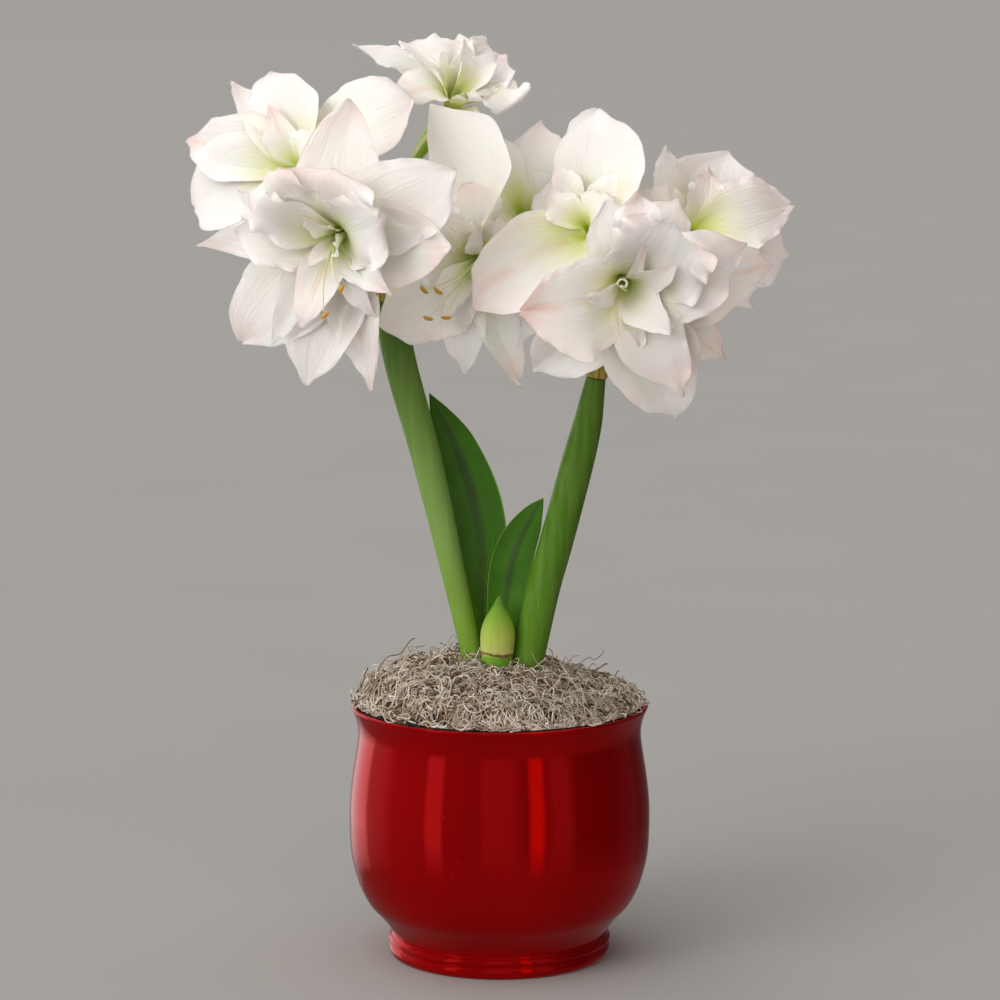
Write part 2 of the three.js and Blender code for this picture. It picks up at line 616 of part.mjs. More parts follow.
function petalSolid(name, petal, number) {
  const surface = petalSurface(BLOOMS[name], petal, number);
  const rows = petal.reach > 50 ? LONG_ROWS : SHORT_ROWS;
  const columns = petal.width > 60 ? WIDE : NARROW;
  const bent = (t, v) => keptInside(surface(t, v), name, petal, number % LAYERS);
  return toSolid(blade(rows, columns, PETAL_THICKNESS, bent));
}

// Pedicel and ovary: from the collar of bracts to the back of the bloom.
function pedicelGeometry(name, grow = 0) {
  const { throat, forward } = bloomFrame(BLOOMS[name]);
  const { scape, corner } = BLOOMS[name].stalk;
  const { way, top } = collarEnds(SCAPES[scape]);
  const start = top.clone().addScaledVector(way, GAP - grow);
  const across = vec(1, 0, 0).addScaledVector(way, -way.x).normalize();
  const depth = vec().crossVectors(way, across);
  start.addScaledVector(across, corner[0] * PEDICEL_OFFSET);
  start.addScaledVector(depth, corner[1] * PEDICEL_OFFSET);
  const end = throat.clone().addScaledVector(forward, -CORE_DEPTH - GAP + grow);
  const length = start.distanceTo(end);
  const path = new THREE.CubicBezierCurve3(
    start,
    start.clone().addScaledVector(way, 0.4 * length),
    end.clone().addScaledVector(forward, -0.45 * length),
    end,
  );
  const widths = [[0, PEDICEL_RADIUS], [0.66, PEDICEL_RADIUS], [0.84, OVARY_RADIUS], [1, 3.4]];
  const section = (t) => [between(widths, t) + grow, between(widths, t) + grow];
  return taperedTube(path, 8, 6, section);
}

// The fleshy tube of a bloom, in which its petals are rooted.
function coreSolid(name) {
  const { throat, forward } = bloomFrame(BLOOMS[name]);
  const at = (depth) => throat.clone().addScaledVector(forward, -depth);
  const line = new THREE.LineCurve3(at(CORE_DEPTH), at(-CORE_TOP));
  const widths = [[0, 3.6], [0.5, CORE_RADIUS], [1, 0.8 * CORE_RADIUS]];
  const section = (t) => [between(widths, t), between(widths, t)];
  return toSolid(taperedTube(line, 4, 8, section));
}

// ---- assembly -----------------------------------------------------------------------------
addNode('pot', potGeometry(), MATERIALS.glaze);
addNode('potting_mix', toGeometry(soilSolid().subtract(toSolid(bulbGeometry(GAP)))), MATERIALS.soil);
addNode('bulb', bulbGeometry(0), MATERIALS.bulb);

const buried = [
  bulbGeometry(GAP),
  ...Object.values(SCAPES).map((scape) => scapeGeometry(scape, GAP)),
  ...Object.values(LEAVES).map(leafSlot),
  budGeometry(GAP),
];
const moss = buried.reduce((solid, piece) => solid.subtract(toSolid(piece)), toSolid(mossGeometry()));
addNode('moss_mound', toGeometry(largestBody(moss)), MATERIALS.moss);

for (const [side, scape] of Object.entries(SCAPES)) {
  addNode(`scape_${side}`, scapeGeometry(scape), MATERIALS.stalk);
  addNode(`bracts_${side}`, collarGeometry(scape), MATERIALS.bract);
}
for (const [name, leaf] of Object.entries(LEAVES)) addNode(name, leafGeometry(leaf), MATERIALS.leaf);
addNode('bud_young', budGeometry(), MATERIALS.bud);

const stems = [
  ...Object.keys(BLOOMS).map((name) => pedicelGeometry(name, GAP)),
  ...Object.values(SCAPES).map((scape) => scapeGeometry(scape, GAP)),
  ...Object.values(SCAPES).map((scape) => collarGeometry(scape, GAP)),
].map(toSolid);

for (const [name, { petals }] of Object.entries(BLOOMS)) {
  addNode(`pedicel_${name}`, pedicelGeometry(name), MATERIALS.stalk);
  const whole = petals.reduce((solid, petal, n) => solid.add(petalSolid(name, petal, n)), coreSolid(name));
  const clear = stems.reduce((solid, stem) => solid.subtract(stem), whole);
  addNode(`bloom_${name}`, toGeometry(largestBody(clear).simplify(0.02)), MATERIALS.petal);
}

export default root;
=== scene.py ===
import math
import random

import bmesh
import bpy
import numpy as np
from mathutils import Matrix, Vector, noise


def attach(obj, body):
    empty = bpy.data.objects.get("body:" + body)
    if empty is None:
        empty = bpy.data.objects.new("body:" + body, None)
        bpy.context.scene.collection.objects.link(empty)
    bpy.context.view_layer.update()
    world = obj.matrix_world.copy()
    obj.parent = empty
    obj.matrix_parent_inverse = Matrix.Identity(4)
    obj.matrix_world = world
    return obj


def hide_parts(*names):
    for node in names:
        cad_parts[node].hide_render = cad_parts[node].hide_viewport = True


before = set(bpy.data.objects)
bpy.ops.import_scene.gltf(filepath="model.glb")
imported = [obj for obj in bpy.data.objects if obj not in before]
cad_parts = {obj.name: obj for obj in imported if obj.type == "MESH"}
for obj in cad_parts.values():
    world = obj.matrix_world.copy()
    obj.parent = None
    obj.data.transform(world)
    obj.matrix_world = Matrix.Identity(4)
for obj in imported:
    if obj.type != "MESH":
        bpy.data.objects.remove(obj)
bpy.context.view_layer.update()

MM = 0.001
UP = np.array((0.0, 0.0, 1.0))
SIDEWAYS = np.array((1.0, 0.0, 0.0))
FRONT = np.array((0.0, -1.0, 0.0))

# ---- dimensions that several pieces share, in millimetres ---------------------------------
GAP = 0.3  # between two pieces that meet
RIM_Z = 178.8
FOOT_Z = 198.3  # top of the bulb, where stalks, leaves and bud start
START_Z = FOOT_Z - 3.0  # their paths start lower and are levelled at FOOT_Z
CORE_DEPTH = 20.0  # from the throat of a bloom back to its ovary


# ---- small tools --------------------------------------------------------------------------
def linear(colour):
    """An sRGB hex colour as linear red, green, blue and alpha."""
    channels = [int(colour[n : n + 2], 16) / 255 for n in (1, 3, 5)]
    return [c / 12.92 if c <= 0.04045 else ((c + 0.055) / 1.055) ** 2.4 for c in channels] + [1.0]


def feed(tree, node, inputs):
    """Sets the inputs of a node from values, hex colours, or the nodes and sockets to link."""
    for name, value in inputs.items():
        if isinstance(value, bpy.types.Node):
            value = next(output for output in value.outputs if output.enabled)
        if isinstance(value, bpy.types.NodeSocket):
            tree.links.new(value, node.inputs[name])
        else:
            node.inputs[name].default_value = linear(value) if isinstance(value, str) else value


def add(tree, kind, inputs=(), stops=(), **settings):
    """Adds a node with its settings, its inputs by name or in order, and a ramp's stops.

    A kind in capitals, such as POWER, is an operation of a Math node.
    """
    if kind.isupper():
        kind, settings = "Math", {"operation": kind}
    node = tree.nodes.new("ShaderNode" + kind)
    for name, value in settings.items():
        setattr(node, name, value)
    feed(tree, node, inputs if isinstance(inputs, dict) else dict(enumerate(inputs)))
    for number, (place, colour) in enumerate(stops):
        elements = node.color_ramp.elements
        element = elements[number] if number < 2 else elements.new(place)
        element.position = place
        element.color = linear(colour) if isinstance(colour, str) else (colour, colour, colour, 1)
    return node


def unit(vector):
    vector = np.asarray(vector, float)
    return vector / np.linalg.norm(vector)


def smooth(x):
    """Eases from 0 to 1 while x runs from 0 to 1."""
    x = np.clip(x, 0.0, 1.0)
    return x * x * (3 - 2 * x)


def between(table, t):
    """Runs smoothly through the values of a table of (place, value)."""
    places, values = (np.array(column, float) for column in zip(*table))
    t = np.atleast_1d(np.asarray(t, float))
    low = np.clip(np.searchsorted(places, t, side="right") - 1, 0, len(places) - 2)
    ends = np.arange(len(places))
    after, before = np.minimum(ends + 1, ends[-1]), np.maximum(ends - 1, 0)
    slopes = (values[after] - values[before]) / (places[after] - places[before])
    span = places[low + 1] - places[low]
    u = np.clip((t - places[low]) / span, 0, 1)
    eased = values[low] + (values[low + 1] - values[low]) * smooth(u)
    return eased + u * (1 - u) * span * (slopes[low] * (1 - u) - slopes[low + 1] * u)


def round_section(*table):
    """The section of a round tube whose radius runs through a table of (place, radius)."""

    def section(s):
        radius = between(table, s)
        return radius, radius

    return section


def bezier(points, t):
    """Place and direction on a cubic Bezier curve."""
    a, b, c, d = (np.asarray(point, float) for point in points)
    t = np.asarray(t)[..., None]
    place = a * (1 - t) ** 3 + 3 * b * t * (1 - t) ** 2 + 3 * c * t**2 * (1 - t) + d * t**3
    way = 3 * ((b - a) * (1 - t) ** 2 + 2 * (c - b) * t * (1 - t) + (d - c) * t**2)
    return place, way / np.maximum(np.linalg.norm(way, axis=-1, keepdims=True), 1e-9)


class Path:
    """A smooth curve through points, read by its length from 0 to 1."""

    SAMPLES = 60  # between two of the points

    def __init__(self, points):
        p = np.array(points, float)
        p = np.vstack([2 * p[0] - p[1], p, 2 * p[-1] - p[-2]])
        u = np.linspace(0, 1, self.SAMPLES, endpoint=False)[:, None]
        spans = []
        for a, b, c, d in zip(p, p[1:], p[2:], p[3:]):
            bend = (2 * a - 5 * b + 4 * c - d) * u**2 + (3 * b - a - 3 * c + d) * u**3
            spans.append(0.5 * (2 * b + (c - a) * u + bend))
        self.samples = np.vstack([*spans, p[-2]])
        steps = np.linalg.norm(np.diff(self.samples, axis=0), axis=1)
        self.places = np.concatenate([[0], np.cumsum(steps)]) / steps.sum()

    def at(self, s):
        return np.stack([np.interp(s, self.places, axis) for axis in self.samples.T], axis=-1)

    def along(self, s):
        step = 1e-3
        way = self.at(np.minimum(s + step, 1)) - self.at(np.maximum(s - step, 0))
        return way / np.linalg.norm(way, axis=-1, keepdims=True)


# ---- meshes -------------------------------------------------------------------------------
WELD = 0.01  # vertices closer than this become one
BLADE_EDGE_U = 0.02  # u at one margin of a blade, and 1 less this at the other


def sheet(bm, columns, rows, place, shift=0):
    """Adds a grid of faces and moves each vertex to place(across, along), in millimetres.

    across runs from -1 to 1 and along from 0 to 1. place also gives the u that the UV map
    shows. shift moves it by a whole number, so that a material can tell petals apart.
    """
    uv = bm.loops.layers.uv.get("UVMap") or bm.loops.layers.uv.new("UVMap")
    made = bmesh.ops.create_grid(bm, x_segments=columns, y_segments=rows, size=1.0)["verts"]
    across = np.array([vert.co.x for vert in made])
    along = np.array([(vert.co.y + 1) / 2 for vert in made])
    points, shown = place(across, along)
    for number, vert in enumerate(made):
        for loop in vert.link_loops:
            loop[uv].uv = (shown[number] + shift, along[number])
            loop.face.smooth = True
        vert.co = Vector(points[number]) * MM
    bmesh.ops.remove_doubles(bm, verts=made, dist=WELD * MM)


def tube(bm, path, section, rings, sides, lobes=0.0, floor=0.0):
    """Adds a closed tube round a path. section(s) gives its radii across and deep.

    lobes makes it that much three-sided, and floor is the level that nothing goes below.
    """

    def place(across, along):
        ring = np.rint(along * rings)
        s = np.clip((ring - 1) / (rings - 2), 0, 1)
        way = path.along(s)
        depth = np.cross(way, SIDEWAYS)
        depth /= np.linalg.norm(depth, axis=1, keepdims=True)
        side = np.cross(depth, way)
        angle = np.pi * across
        wide, deep = section(s)
        open_ring = ((ring > 0) & (ring < rings)) * (1 + lobes * np.cos(3 * angle))
        points = path.at(s) + (wide * open_ring * np.cos(angle))[:, None] * side
        points += (deep * open_ring * np.sin(angle))[:, None] * depth
        points[:, 2] = np.maximum(points[:, 2], floor)
        return points, across

    sheet(bm, sides, rings, place)


def lens(bm, surface, thickness, columns, rows, shift=0):
    """Adds a thin closed blade with sharp margins round surface(t, v), v from -1 to 1.

    It is thickest at the midrib, and about half as thick at its tip as at its root.
    """

    def place(across, along):
        angle = np.pi * across
        v = np.cos(angle)
        t = np.clip(along, 0.001, 0.999)
        middle = surface(t, v)
        ahead = surface(np.minimum(t + 0.002, 1), v) - surface(t - 0.001, v)
        aside = surface(t, np.minimum(v + 0.01, 1)) - surface(t, np.maximum(v - 0.01, -1))
        normal = np.cross(ahead, aside)
        normal /= np.maximum(np.linalg.norm(normal, axis=1, keepdims=True), 1e-9)
        half = thickness / 2 * np.sin(angle) * (1 - 0.45 * t) * (0 < along) * (along < 1)
        points = middle + half[:, None] * normal
        root, tip = (surface(np.array([end]), np.array([0.0]))[0] for end in (0.001, 0.999))
        points[along <= 0] = root
        points[along >= 1] = tip
        return points, BLADE_EDGE_U + (0.5 - BLADE_EDGE_U) * (v + 1)

    sheet(bm, columns, rows, place, shift)


def place_piece(name, data, nodes=()):
    """Puts a mesh or curve in the scene, on the root body, in place of the given CAD nodes."""
    piece = bpy.data.objects.new(name, data)
    bpy.context.scene.collection.objects.link(piece)
    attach(piece, "root")
    if nodes:
        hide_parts(*nodes)


def finish_piece(name, bm, material, nodes=()):
    """Makes a mesh of bm, with its faces outwards, and places it."""
    bmesh.ops.recalc_face_normals(bm, faces=bm.faces)
    mesh = bpy.data.meshes.new(name)
    bm.to_mesh(mesh)
    bm.free()
    mesh.materials.append(material)
    place_piece(name, mesh, nodes)


# ---- materials ----------------------------------------------------------------------------
def new_material(name, **constants):
    """A material on a Principled shader whose constant inputs are set on its own sockets."""
    material = bpy.data.materials.new(name)
    material.use_nodes = True
    tree = material.node_tree
    shader = tree.nodes["Principled BSDF"]
    for socket, value in constants.items():
        shader.inputs[socket.replace("_", " ").title().replace("Ior", "IOR")].default_value = value
    return material, tree, shader


def per_metre(size):
    """How many repeats of a pattern go in a metre, from the size of one in millimetres."""
    return 1 / (size * MM)


def petal_tissue():
    """Tepal of a double amaryllis: thin watery tissue under a satin skin of small bright cells.

    Light spreads through it, so it glows white with soft shadows. It is yellow-green in the
    throat, a little farther along the midrib, and a pink blush lies along margins, tips and
    some midribs. A broad petal has 30 veins, drawn 2 mm apart, coarser than real ones, so that
    they show. The cells are drawn 0.8 mm wide for the same reason.
    """
    material, tree, shader = new_material(
        "petal_tissue", roughness=0.45, ior=1.4, subsurface_weight=0.65,
        subsurface_radius=(1.0, 0.95, 0.88), subsurface_scale=4 * MM, sheen_weight=0.08,
    )
    shader.subsurface_method = "BURLEY"
    here = add(tree, "TexCoord").outputs["Object"]
    number, along = add(tree, "SeparateXYZ", (add(tree, "UVMap", uv_map="UVMap"),)).outputs[:2]
    across = add(tree, "FRACT", (number,))
    from_left = add(tree, "MULTIPLY_ADD", (across, 2.0, -1.0))
    off_rib = add(tree, "ABSOLUTE", (from_left,))
    to_margin = add(tree, "POWER", (off_rib, 3.0))
    petal = add(tree, "FLOOR", (number,))
    seed = add(tree, "TexWhiteNoise", {"W": petal}, noise_dimensions="1D")
    stretched = add(tree, "CombineXYZ", (
        add(tree, "MULTIPLY", (number, 30.0)),
        add(tree, "MULTIPLY", (along, 2.0)),
    ))
    veins = add(tree, "TexNoise", {"Vector": stretched, "Scale": 1.0})
    patches = add(tree, "TexNoise", {"Vector": here, "Scale": per_metre(33.3), "Detail": 4.0})
    cells = add(tree, "TexNoise", {"Vector": here, "Scale": per_metre(0.77)})

    along_veins = add(tree, "MULTIPLY_ADD", (veins, 0.16, -0.08))
    climb = add(tree, "MULTIPLY_ADD", (to_margin, 0.22, along))
    climb = add(tree, "ADD", (climb, along_veins))
    tissue = add(tree, "ValToRGB", (climb,), [
        (0.0, "#c0d83a"), (0.13, "#d6e662"), (0.26, "#e8efa6"), (0.42, "#f1f1d8"),
        (0.58, "#f3f1ec"), (1.0, "#f3f1f0"),
    ])
    tip = add(tree, "ValToRGB", (along,), [(0.62, 0.0), (1.0, 0.75)])
    edge = add(tree, "MULTIPLY_ADD", (to_margin, 0.42, tip))
    blotch = add(tree, "ValToRGB", (patches,), [(0.38, 0.0), (0.68, 1.0)])
    blush = add(tree, "MULTIPLY", (edge, blotch))
    often = add(tree, "MULTIPLY_ADD", (seed, 0.6, 0.15))
    blush = add(tree, "MULTIPLY", (blush, often))
    pinked = add(tree, "Mix", {0: blush, 6: tissue, 7: "#eeb6aa"}, data_type="RGBA")
    rib_line = add(tree, "ValToRGB", (off_rib,), [(0.0, 0.5), (0.2, 0.0)])
    rib_seed = add(tree, "ValToRGB", (seed,), [(0.62, 0.0), (0.8, 1.0)])
    rib_blush = add(tree, "MULTIPLY", (rib_line, rib_seed))
    rib_blush = add(tree, "MULTIPLY", (rib_blush, blotch))
    ribbed = add(tree, "Mix", {0: rib_blush, 6: pinked, 7: "#e8ac88"}, data_type="RGBA")

    height = add(tree, "MULTIPLY_ADD", (cells, 0.12, veins))
    relief = add(tree, "Bump", {"Height": height, "Strength": 0.8, "Distance": 0.9 * MM})
    feed(tree, shader, {"Base Color": ribbed, "Normal": relief})
    return material


def filament_tissue():
    """Stamen filament and style: smooth, pale and slightly clear, greener towards the ovary."""
    material, tree, shader = new_material(
        "filament_tissue", roughness=0.35, ior=1.4, subsurface_weight=0.3,
        subsurface_radius=(1.0, 0.9, 0.5), subsurface_scale=2 * MM,
    )
    along = add(tree, "SeparateXYZ", (add(tree, "UVMap", uv_map="UVMap"),)).outputs[1]
    shades = add(tree, "ValToRGB", (along,), [(0.0, "#a8c64a"), (0.5, "#dbe4a0"), (1.0, "#f4f0d8")])
    feed(tree, shader, {"Base Color": shades})
    return material


def anther_pollen():
    """Anther: a thin sac covered with matte yellow pollen, its grains drawn 0.4 mm wide to show."""
    material, tree, shader = new_material("anther_pollen", roughness=0.9)
    here = add(tree, "TexCoord").outputs["Object"]
    grains = add(tree, "TexNoise", {"Vector": here, "Scale": per_metre(0.4)})
    colour = add(tree, "Mix", {0: grains, 6: "#c8802a", 7: "#f0c458"}, data_type="RGBA")
    relief = add(tree, "Bump", {"Height": grains, "Distance": 0.3 * MM})
    feed(tree, shader, {"Base Color": colour, "Normal": relief})
    return material


def stalk_skin(name, base, middle, top, top_z):
    """Waxed green skin of a stalk: smooth, with fine fibres and paler streaks along its length.

    There are 30 fibres round it, about 2 mm apart. The streaks are 4 mm wide and 11 cm long.
    """
    material, tree, shader = new_material(
        name, roughness=0.42, ior=1.38,
        subsurface_weight=0.12, subsurface_radius=(0.5, 0.9, 0.2), subsurface_scale=3 * MM,
    )
    here = add(tree, "TexCoord").outputs["Object"]
    level = add(tree, "SeparateXYZ", (here,)).outputs[2]
    climb = add(tree, "MapRange", {"Value": level, "From Min": 200 * MM, "From Max": top_z * MM})
    shades = add(tree, "ValToRGB", (climb,), [(0.0, base), (0.4, middle), (1.0, top)])
    around = add(tree, "SeparateXYZ", (add(tree, "UVMap", uv_map="UVMap"),)).outputs[0]
    fibres = add(tree, "MULTIPLY", (around, 30 * math.pi))
    fibres = add(tree, "SINE", (fibres,))
    long_streak = (per_metre(3.85), per_metre(3.85), per_metre(111))
    stretched = add(tree, "Mapping", {"Vector": here, "Scale": long_streak})
    streaks = add(tree, "TexNoise", {"Vector": stretched, "Scale": 1.0, "Detail": 4.0})
    wear = add(tree, "ValToRGB", (streaks,), [(0.35, 0.0), (0.7, 1.0)])
    paler = add(tree, "Mix", {0: 0.18, 6: shades, 7: "#a9c26a"}, data_type="RGBA")
    colour = add(tree, "Mix", {0: wear, 6: shades, 7: paler}, data_type="RGBA")
    height = add(tree, "MULTIPLY_ADD", (fibres, 0.25, streaks))
    relief = add(tree, "Bump", {"Height": height, "Strength": 0.35, "Distance": 0.4 * MM})
    feed(tree, shader, {"Base Color": colour, "Normal": relief})
    return material


def ovary_skin():
    """Flower stem and ovary: smooth yellow-green, the ovary with a pale painted highlight along each
    of its three ridges.
    """
    material, tree, shader = new_material(
        "ovary_skin", roughness=0.4, ior=1.4, subsurface_weight=0.2,
        subsurface_radius=(0.8, 1.0, 0.2), subsurface_scale=3 * MM,
    )
    around, along = add(tree, "SeparateXYZ", (add(tree, "UVMap", uv_map="UVMap"),)).outputs[:2]
    # painted highlight: pale cream along each of the ovary's three ridges
    ridge_highlight_mask = add(tree, "MULTIPLY", (around, 3 * math.pi))
    ridge_highlight_mask = add(tree, "COSINE", (ridge_highlight_mask,))
    highlit_ridges = add(tree, "ValToRGB", (ridge_highlight_mask,), [(0.0, "#a8cc34"), (0.55, "#b8d644"), (0.8, "#eef3c4")])
    climb = add(tree, "ValToRGB", (along,), [(0.62, 0.0), (0.76, 1.0)])
    colour = add(tree, "Mix", {0: climb, 6: "#94bb38", 7: highlit_ridges}, data_type="RGBA")
    feed(tree, shader, {"Base Color": colour})
    return material


def leaf_blade():
    """Strap leaf: leathery dark green with parallel veins, a darker channel and a pale margin.

    The veins are drawn up to 1.5 mm apart, coarser than real ones, so that they show.
    """
    material, tree, shader = new_material(
        "leaf_blade", roughness=0.38, ior=1.4,
        subsurface_weight=0.08, subsurface_radius=(0.4, 0.9, 0.1), subsurface_scale=2 * MM,
    )
    here = add(tree, "TexCoord").outputs["Object"]
    across, along = add(tree, "SeparateXYZ", (add(tree, "UVMap", uv_map="UVMap"),)).outputs[:2]
    off_rib = add(tree, "MULTIPLY_ADD", (across, 2.0, -1.0))
    off_rib = add(tree, "ABSOLUTE", (off_rib,))
    channel = add(tree, "ValToRGB", (off_rib,), [
        (0.0, "#42602c"), (0.12, "#43672a"), (0.26, "#457a1a"), (0.9, "#3f7014"), (0.97, "#7ba23a"),
    ])
    foot = add(tree, "ValToRGB", (along,), [(0.0, 1.0), (0.5, 0.0)])
    colour = add(tree, "Mix", {0: foot, 6: channel, 7: "#5d9414"}, data_type="RGBA")
    veins = add(tree, "MULTIPLY", (across, 54 * math.pi))
    veins = add(tree, "SINE", (veins,))
    patches = add(tree, "TexNoise", {"Vector": here, "Scale": per_metre(16.7), "Detail": 5.0})
    shade = add(tree, "ValToRGB", (patches,), [(0.3, 0.82), (0.7, 1.1)])
    colour = add(tree, "Mix", {0: 1.0, 6: colour, 7: shade}, data_type="RGBA", blend_type="MULTIPLY")
    height = add(tree, "MULTIPLY_ADD", (veins, 0.35, patches))
    relief = add(tree, "Bump", {"Height": height, "Strength": 0.5, "Distance": 0.3 * MM})
    feed(tree, shader, {"Base Color": colour, "Normal": relief})
    return material


def bud_skin():
    """Closed spathe of a young bud: fleshy, yellow-green, with 24 faint ribs that meet at its tip."""
    material, tree, shader = new_material(
        "bud_skin", roughness=0.36, ior=1.42, coat_weight=0.1, coat_roughness=0.3,
        subsurface_weight=0.25, subsurface_radius=(0.8, 1.0, 0.3), subsurface_scale=4 * MM,
    )
    here = add(tree, "TexCoord").outputs["Object"]
    around, along = add(tree, "SeparateXYZ", (add(tree, "UVMap", uv_map="UVMap"),)).outputs[:2]
    shades = add(tree, "ValToRGB", (along,), [
        (0.0, "#5f9a26"), (0.32, "#79ad34"), (0.36, "#cdd37c"), (0.55, "#b7c757"), (0.72, "#8fb23a"),
        (0.88, "#5f9226"), (1.0, "#4d8020"),
    ])
    ribs = add(tree, "MULTIPLY", (around, 24 * math.pi))
    ribs = add(tree, "SINE", (ribs,))
    fine_streak = (per_metre(3.33), per_metre(3.33), per_metre(40))
    stretched = add(tree, "Mapping", {"Vector": here, "Scale": fine_streak})
    streaks = add(tree, "TexNoise", {"Vector": stretched, "Scale": 1.0})
    mottle = add(tree, "ValToRGB", (streaks,), [(0.4, 0.0), (0.65, 0.35)])
    colour = add(tree, "Mix", {0: mottle, 6: shades, 7: "#8db33f"}, data_type="RGBA")
    relief = add(tree, "Bump", {"Height": ribs, "Strength": 0.12, "Distance": 0.3 * MM})
    feed(tree, shader, {"Base Color": colour, "Normal": relief})
    return material


def papery_skin(name, light, dark):
    """Bract or bulb skin that has dried on the plant: matte, creased lengthwise and blotched."""
    material, tree, shader = new_material(name, roughness=0.75, sheen_weight=0.1)
    here = add(tree, "TexCoord").outputs["Object"]
    crease = (per_metre(2), per_metre(2), per_metre(16.7))
    stretched = add(tree, "Mapping", {"Vector": here, "Scale": crease})
    streaks = add(tree, "TexNoise", {"Vector": stretched, "Scale": 1.0, "Detail": 6.0})
    spread = add(tree, "ValToRGB", (streaks,), [(0.35, dark), (0.65, light)])
    relief = add(tree, "Bump", {"Height": streaks, "Strength": 0.7, "Distance": 0.6 * MM})
    feed(tree, shader, {"Base Color": spread, "Normal": relief})
    return material


def red_glaze():
    """Poured crimson lustre glaze on fired clay: deep red, glassy, with a metallic sheen.

    It has flowed into broad upright streaks, 7 cm wide, and has a few pin-prick pits.
    """
    material, tree, shader = new_material("red_glaze", roughness=0.07, ior=1.38, metallic=0.65)
    here = add(tree, "TexCoord").outputs["Object"]
    streak = (per_metre(71.4), per_metre(71.4), per_metre(200))
    stretched = add(tree, "Mapping", {"Vector": here, "Scale": streak})
    flow = add(tree, "TexNoise", {"Vector": stretched, "Scale": 1.0, "Detail": 3.0})
    depth = add(tree, "ValToRGB", (flow,), [(0.3, "#b60407"), (0.7, "#cc060b")])
    pits = add(tree, "TexVoronoi", {"Vector": here, "Scale": per_metre(10.5)})
    pit = add(tree, "ValToRGB", (pits,), [(0.025, 1.0), (0.05, 0.0)])
    thin = add(tree, "MULTIPLY", (pit, 0.5))
    colour = add(tree, "Mix", {0: thin, 6: depth, 7: "#d8604a"}, data_type="RGBA")
    ripple = add(tree, "TexNoise", {"Vector": here, "Scale": per_metre(45.5)})
    height = add(tree, "MULTIPLY_ADD", (pit, -0.3, ripple))
    relief = add(tree, "Bump", {"Height": height, "Strength": 0.12, "Distance": 1.2 * MM})
    feed(tree, shader, {"Base Color": colour, "Normal": relief})
    return material


def moss_fibre(name, light, middle, dark):
    """Dried moss: grey-tan fibre, matte and scaly, with browner stretches. In the dark colours of the
    bed it is painted shade.
    """
    material, tree, shader = new_material(name, roughness=0.92, sheen_weight=0.15)
    here = add(tree, "TexCoord").outputs["Object"]
    patches = add(tree, "TexNoise", {"Vector": here, "Scale": per_metre(8.33), "Detail": 4.0})
    shades = add(tree, "ValToRGB", (patches,), [(0.3, dark), (0.5, middle), (0.68, light)])
    scales = add(tree, "TexNoise", {"Vector": here, "Scale": per_metre(0.667)})
    relief = add(tree, "Bump", {"Height": scales, "Strength": 0.6, "Distance": 0.4 * MM})
    feed(tree, shader, {"Base Color": shades, "Normal": relief})
    return material


def potting_soil():
    """Potting mix: crumbly dark peat and bark."""
    material, tree, shader = new_material("potting_soil", roughness=0.95)
    here = add(tree, "TexCoord").outputs["Object"]
    crumbs = add(tree, "TexVoronoi", {"Vector": here, "Scale": per_metre(3.85)})
    shades = add(tree, "ValToRGB", (crumbs,), [(0.0, "#5a4332"), (0.6, "#1f1510")])
    relief = add(tree, "Bump", {"Height": crumbs, "Distance": 2 * MM})
    feed(tree, shader, {"Base Color": shades, "Normal": relief})
    return material


def studio_floor():
    """Matte painted board, pale grey."""
    material, tree, shader = new_material("studio_floor", roughness=0.85)
    here = add(tree, "TexCoord").outputs["Object"]
    mottle = add(tree, "TexNoise", {"Vector": here, "Scale": per_metre(333)})
    shades = add(tree, "ValToRGB", (mottle,), [(0.2, "#b3b1ad"), (0.8, "#b7b5b2")])
    feed(tree, shader, {"Base Color": shades})
    return material


# ---- pot ----------------------------------------------------------------------------------
# Outline of the pot as radius and height: foot with two grooves, belly, neck, lip and inside.
FOOT = [
    (0, 0), (70, 0), (75.6, 0.2), (76.9, 1.2), (77.8, 3), (78.1, 5.4), (77.6, 7.4), (76.3, 8.5),
    (76.6, 9.2), (78.1, 10.4), (78.3, 12), (77.6, 13.6), (75.9, 14.8), (75.7, 15.8), (76.4, 17.2),
]
BELLY = [
    (76.4, 17.2), (77.6, 20.2), (84.2, 28.8), (92, 37.2), (96.9, 46), (100.4, 54.9), (104.4, 72),
    (105.6, 93), (105.2, 111), (103.2, 129), (100.5, 146), (99.2, 158), (100.3, 167), (102.3, 173),
]
LIP = [(103.4, 175.6), (104.1, 177.2), (103.9, 178.3), (102.9, RIM_Z), (101.5, 178.6), (100.2, 177.2)]
INSIDE = [(98.9, 172.6), (96.5, 165), (95, 150), (95.5, 129), (94, 110), (80, 60), (0, 40)]
FLAT_FOOT = 2  # points of FOOT before its round edge


def rounded(points, per_span):
    """A smooth run through the points of an outline."""
    path = Path([(r, 0, z) for r, z in points])
    return [tuple(p[[0, 2]]) for p in path.at(np.linspace(0, 1, per_span * (len(points) - 1) + 1))]


def turned(outline, steps):
    """Spins an outline of radii and heights round the Z axis."""
    bm = bmesh.new()
    verts = [bm.verts.new(Vector((r, 0, z)) * MM) for r, z in outline]
    edges = [bm.edges.new(pair) for pair in zip(verts, verts[1:])]
    bmesh.ops.spin(
        bm, geom=verts + edges, cent=(0, 0, 0), axis=(0, 0, 1), angle=2 * math.pi, steps=steps,
        use_merge=True,
    )
    bmesh.ops.remove_doubles(bm, verts=bm.verts, dist=WELD * MM)
    for face in bm.faces:
        face.smooth = True
    return bm


def make_pot(glaze):
    """The outside is rounded, down to the grooves of the foot, and the hidden inside is plain."""
    foot = FOOT[:FLAT_FOOT] + rounded(FOOT[FLAT_FOOT:], 3)
    outline = foot + rounded(BELLY, 4)[1:] + rounded(LIP, 3) + INSIDE
    finish_piece("glazed_pot", turned(outline, 144), glaze, ["pot"])


